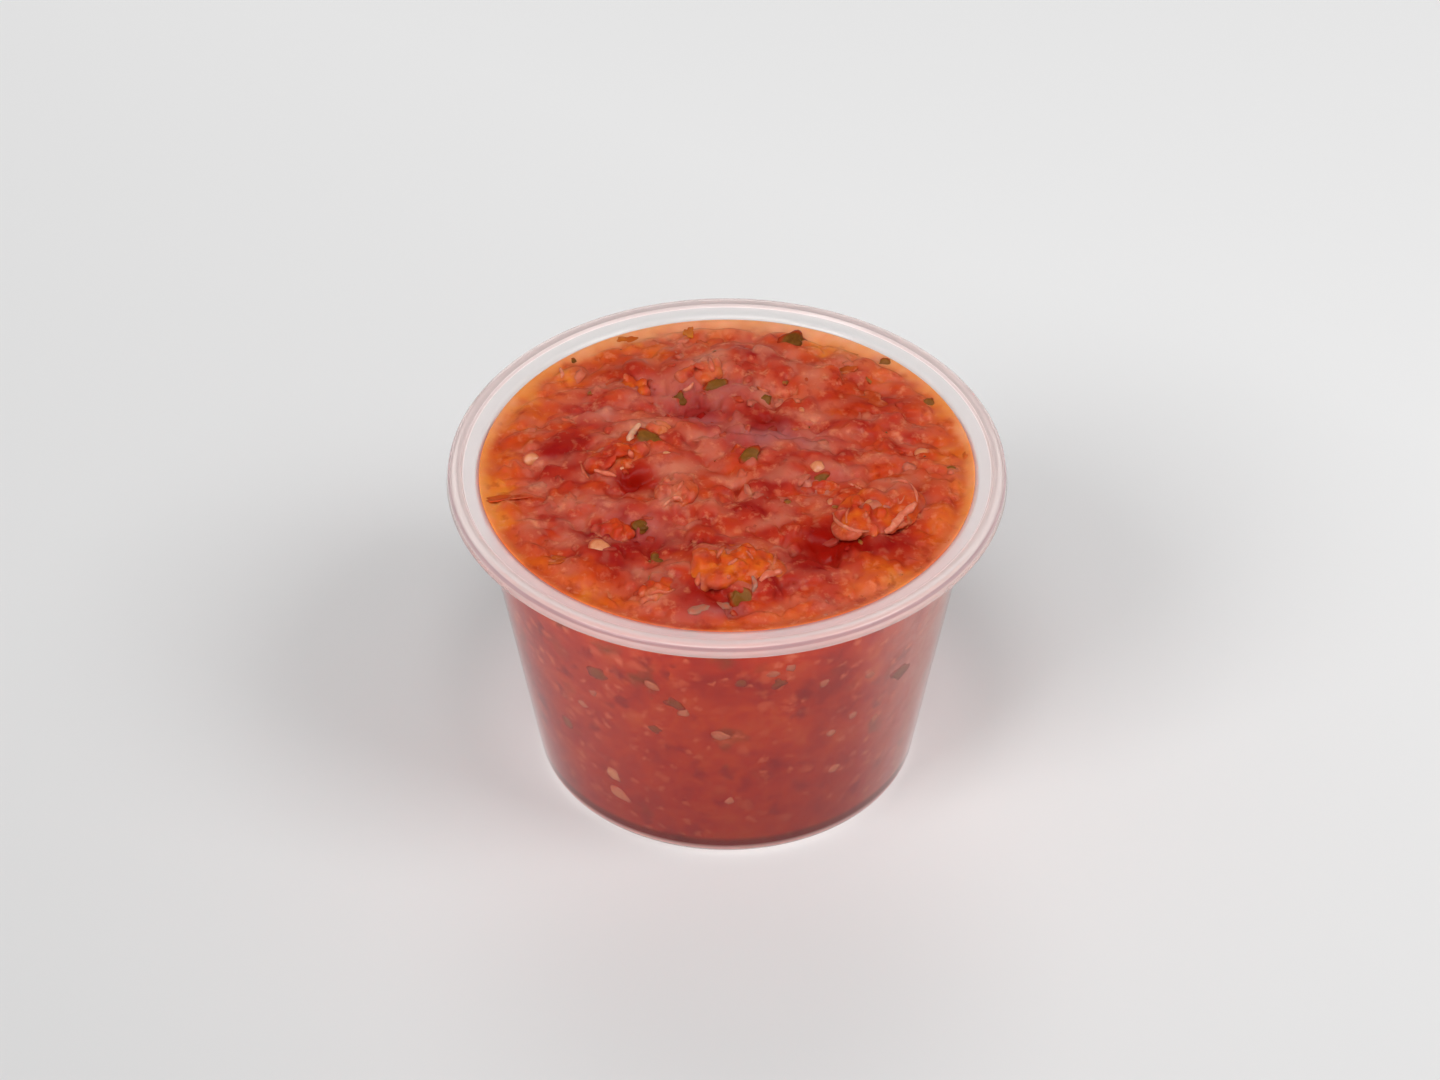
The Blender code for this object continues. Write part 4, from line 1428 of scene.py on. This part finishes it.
def make_scene():
    """The cup, the mash in it, and all that stands out of the mash or lies on it."""
    turning = turning_tree()
    scattering = scattering_tree()
    make_cup(turning)
    pulp = make_pulp(pulp_material(), wall_pulp_material())
    salad_tree = BVHTree.FromObject(pulp, bpy.context.evaluated_depsgraph_get())
    pieces = make_tomato_pieces(piece_material(), salad_tree)
    top_tree = joined_tree(pulp, pieces)
    make_pale_edges(edge_material(), top_tree)

    bits = [unit_bit(1.3 * k) for k in range(6)]
    minced = mince_material()
    seeds = seed_material()
    herbs = herb_material()
    kinds = ((bits, minced), ([seed_shape()], seeds), (bits, herbs), ([unit_bit(4.0, 1)], minced))
    for row, (shapes, material) in zip(STREWN, kinds):
        scatter(row, pulp, scattering, shapes, material)

    rng = random.Random(29)
    shown_seeds = Gathered()
    top_shape = lambda k: seed_shape(16, 1.7 * k)
    wall_shape = lambda k: seed_shape(16, 1.7 * k + 40)
    lay_by_pixel(shown_seeds, TOP_SEEDS, TOP_SEED_LIE, top_shape, top_tree, rng)
    lay_by_pixel(shown_seeds, WALL_SEEDS, WALL_SEED_LIE, wall_shape, salad_tree, rng)
    shown_seeds.as_piece("seeds_that_show", seeds)
    shown_flecks = Gathered()
    fleck = lambda k: unit_bit(k * 1.3, 3)
    lay_by_pixel(shown_flecks, TOP_FLECKS, TOP_FLECK_LIE, fleck, top_tree, rng)
    lay_by_pixel(shown_flecks, WALL_FLECKS, WALL_FLECK_LIE, fleck, salad_tree, rng)
    shown_flecks.as_piece("flecks_that_show", herbs)


# The stage


def area_light(name, place, size, power):
    """A soft square lamp that looks at the cup."""
    data = bpy.data.lights.new(name, "AREA")
    data.size = size
    data.energy = power
    lamp = bpy.data.objects.new(name, data)
    lamp.location = place
    aim = Vector((0.0, 0.0, CUP_HEIGHT / 2)) - Vector(place)
    lamp.rotation_euler = aim.to_track_quat("-Z", "Y").to_euler()
    bpy.context.scene.collection.objects.link(lamp)


def make_sky():
    """A white room, bright over the camera and dim behind the cup, which the wet salad mirrors."""
    world = bpy.data.worlds.new("studio")
    world.use_nodes = True
    tree = world.node_tree
    way = add_node(tree, "ShaderNodeTexCoord").outputs["Generated"]
    across = add_node(tree, "ShaderNodeSeparateXYZ", {0: way}).outputs["Y"]
    sockets = tree.nodes["Background"].inputs
    tree.links.new(spread(tree, across, -0.1, 0.65, SKY_FRONT, SKY_BACK), sockets["Strength"])
    sockets["Color"].default_value = (1.0, 1.0, 1.0, 1.0)
    bpy.context.scene.world = world


def round_patch(tree, centre, near, far, inside, outside):
    """A value that goes softly from inside to outside between two distances from a centre."""
    links = {0: own_place(tree), 1: tuple(length * MM for length in centre)}
    apart = add_node(tree, "ShaderNodeVectorMath", links, operation="DISTANCE").outputs["Value"]
    links = {"Value": apart, 1: near * MM, 2: far * MM, 3: inside, 4: outside}
    return add_node(tree, "ShaderNodeMapRange", links, interpolation_type="SMOOTHSTEP").outputs["Result"]


def make_stage():
    """A pale floor with painted light, shadow and glow, soft studio light and the photograph's camera."""
    floor = plain_object("floor", [(-3, -3, 0), (3, -3, 0), (3, 3, 0), (-3, 3, 0)], [(0, 1, 2, 3)])
    paper, tree = new_material("pale_paper", Roughness=0.9, Emission_Color=GLOW)
    # The paper is painted lighter towards the back and right, and darker in a soft patch in front of the
    # cup: painted light and shadow.
    aslant = plus(tree, times(tree, own_place(tree, "X"), 0.65), own_place(tree, "Y"))
    white = spread(tree, aslant, -0.14, 0.13, 0.71, 0.905)
    shade = round_patch(tree, (2.0, -50.0, 0.0), 8.0, 50.0, 0.89, 1.0)
    painted(paper, times(tree, white, shade))
    # A faint pink glow painted on the paper round the cup's foot, in place of the light that the clear
    # cup lets through.
    glow = round_patch(tree, (0.0, 9.0, 0.0), 24.0, 38.0, 0.19, 0.0)
    tree.links.new(glow, tree.nodes["Principled BSDF"].inputs["Emission Strength"])
    floor.data.materials.append(paper)
    for lamp in LAMPS:
        area_light(*lamp)
    make_sky()
    camera = bpy.data.cameras.new("camera")
    camera.lens = LENS_MM
    camera.sensor_width = SENSOR_MM
    holder = bpy.data.objects.new("camera", camera)
    holder.matrix_world = eye_matrix()
    bpy.context.scene.collection.objects.link(holder)
    bpy.context.scene.camera = holder
    bpy.context.scene.view_settings.view_transform = "Standard"


make_scene()
make_stage()
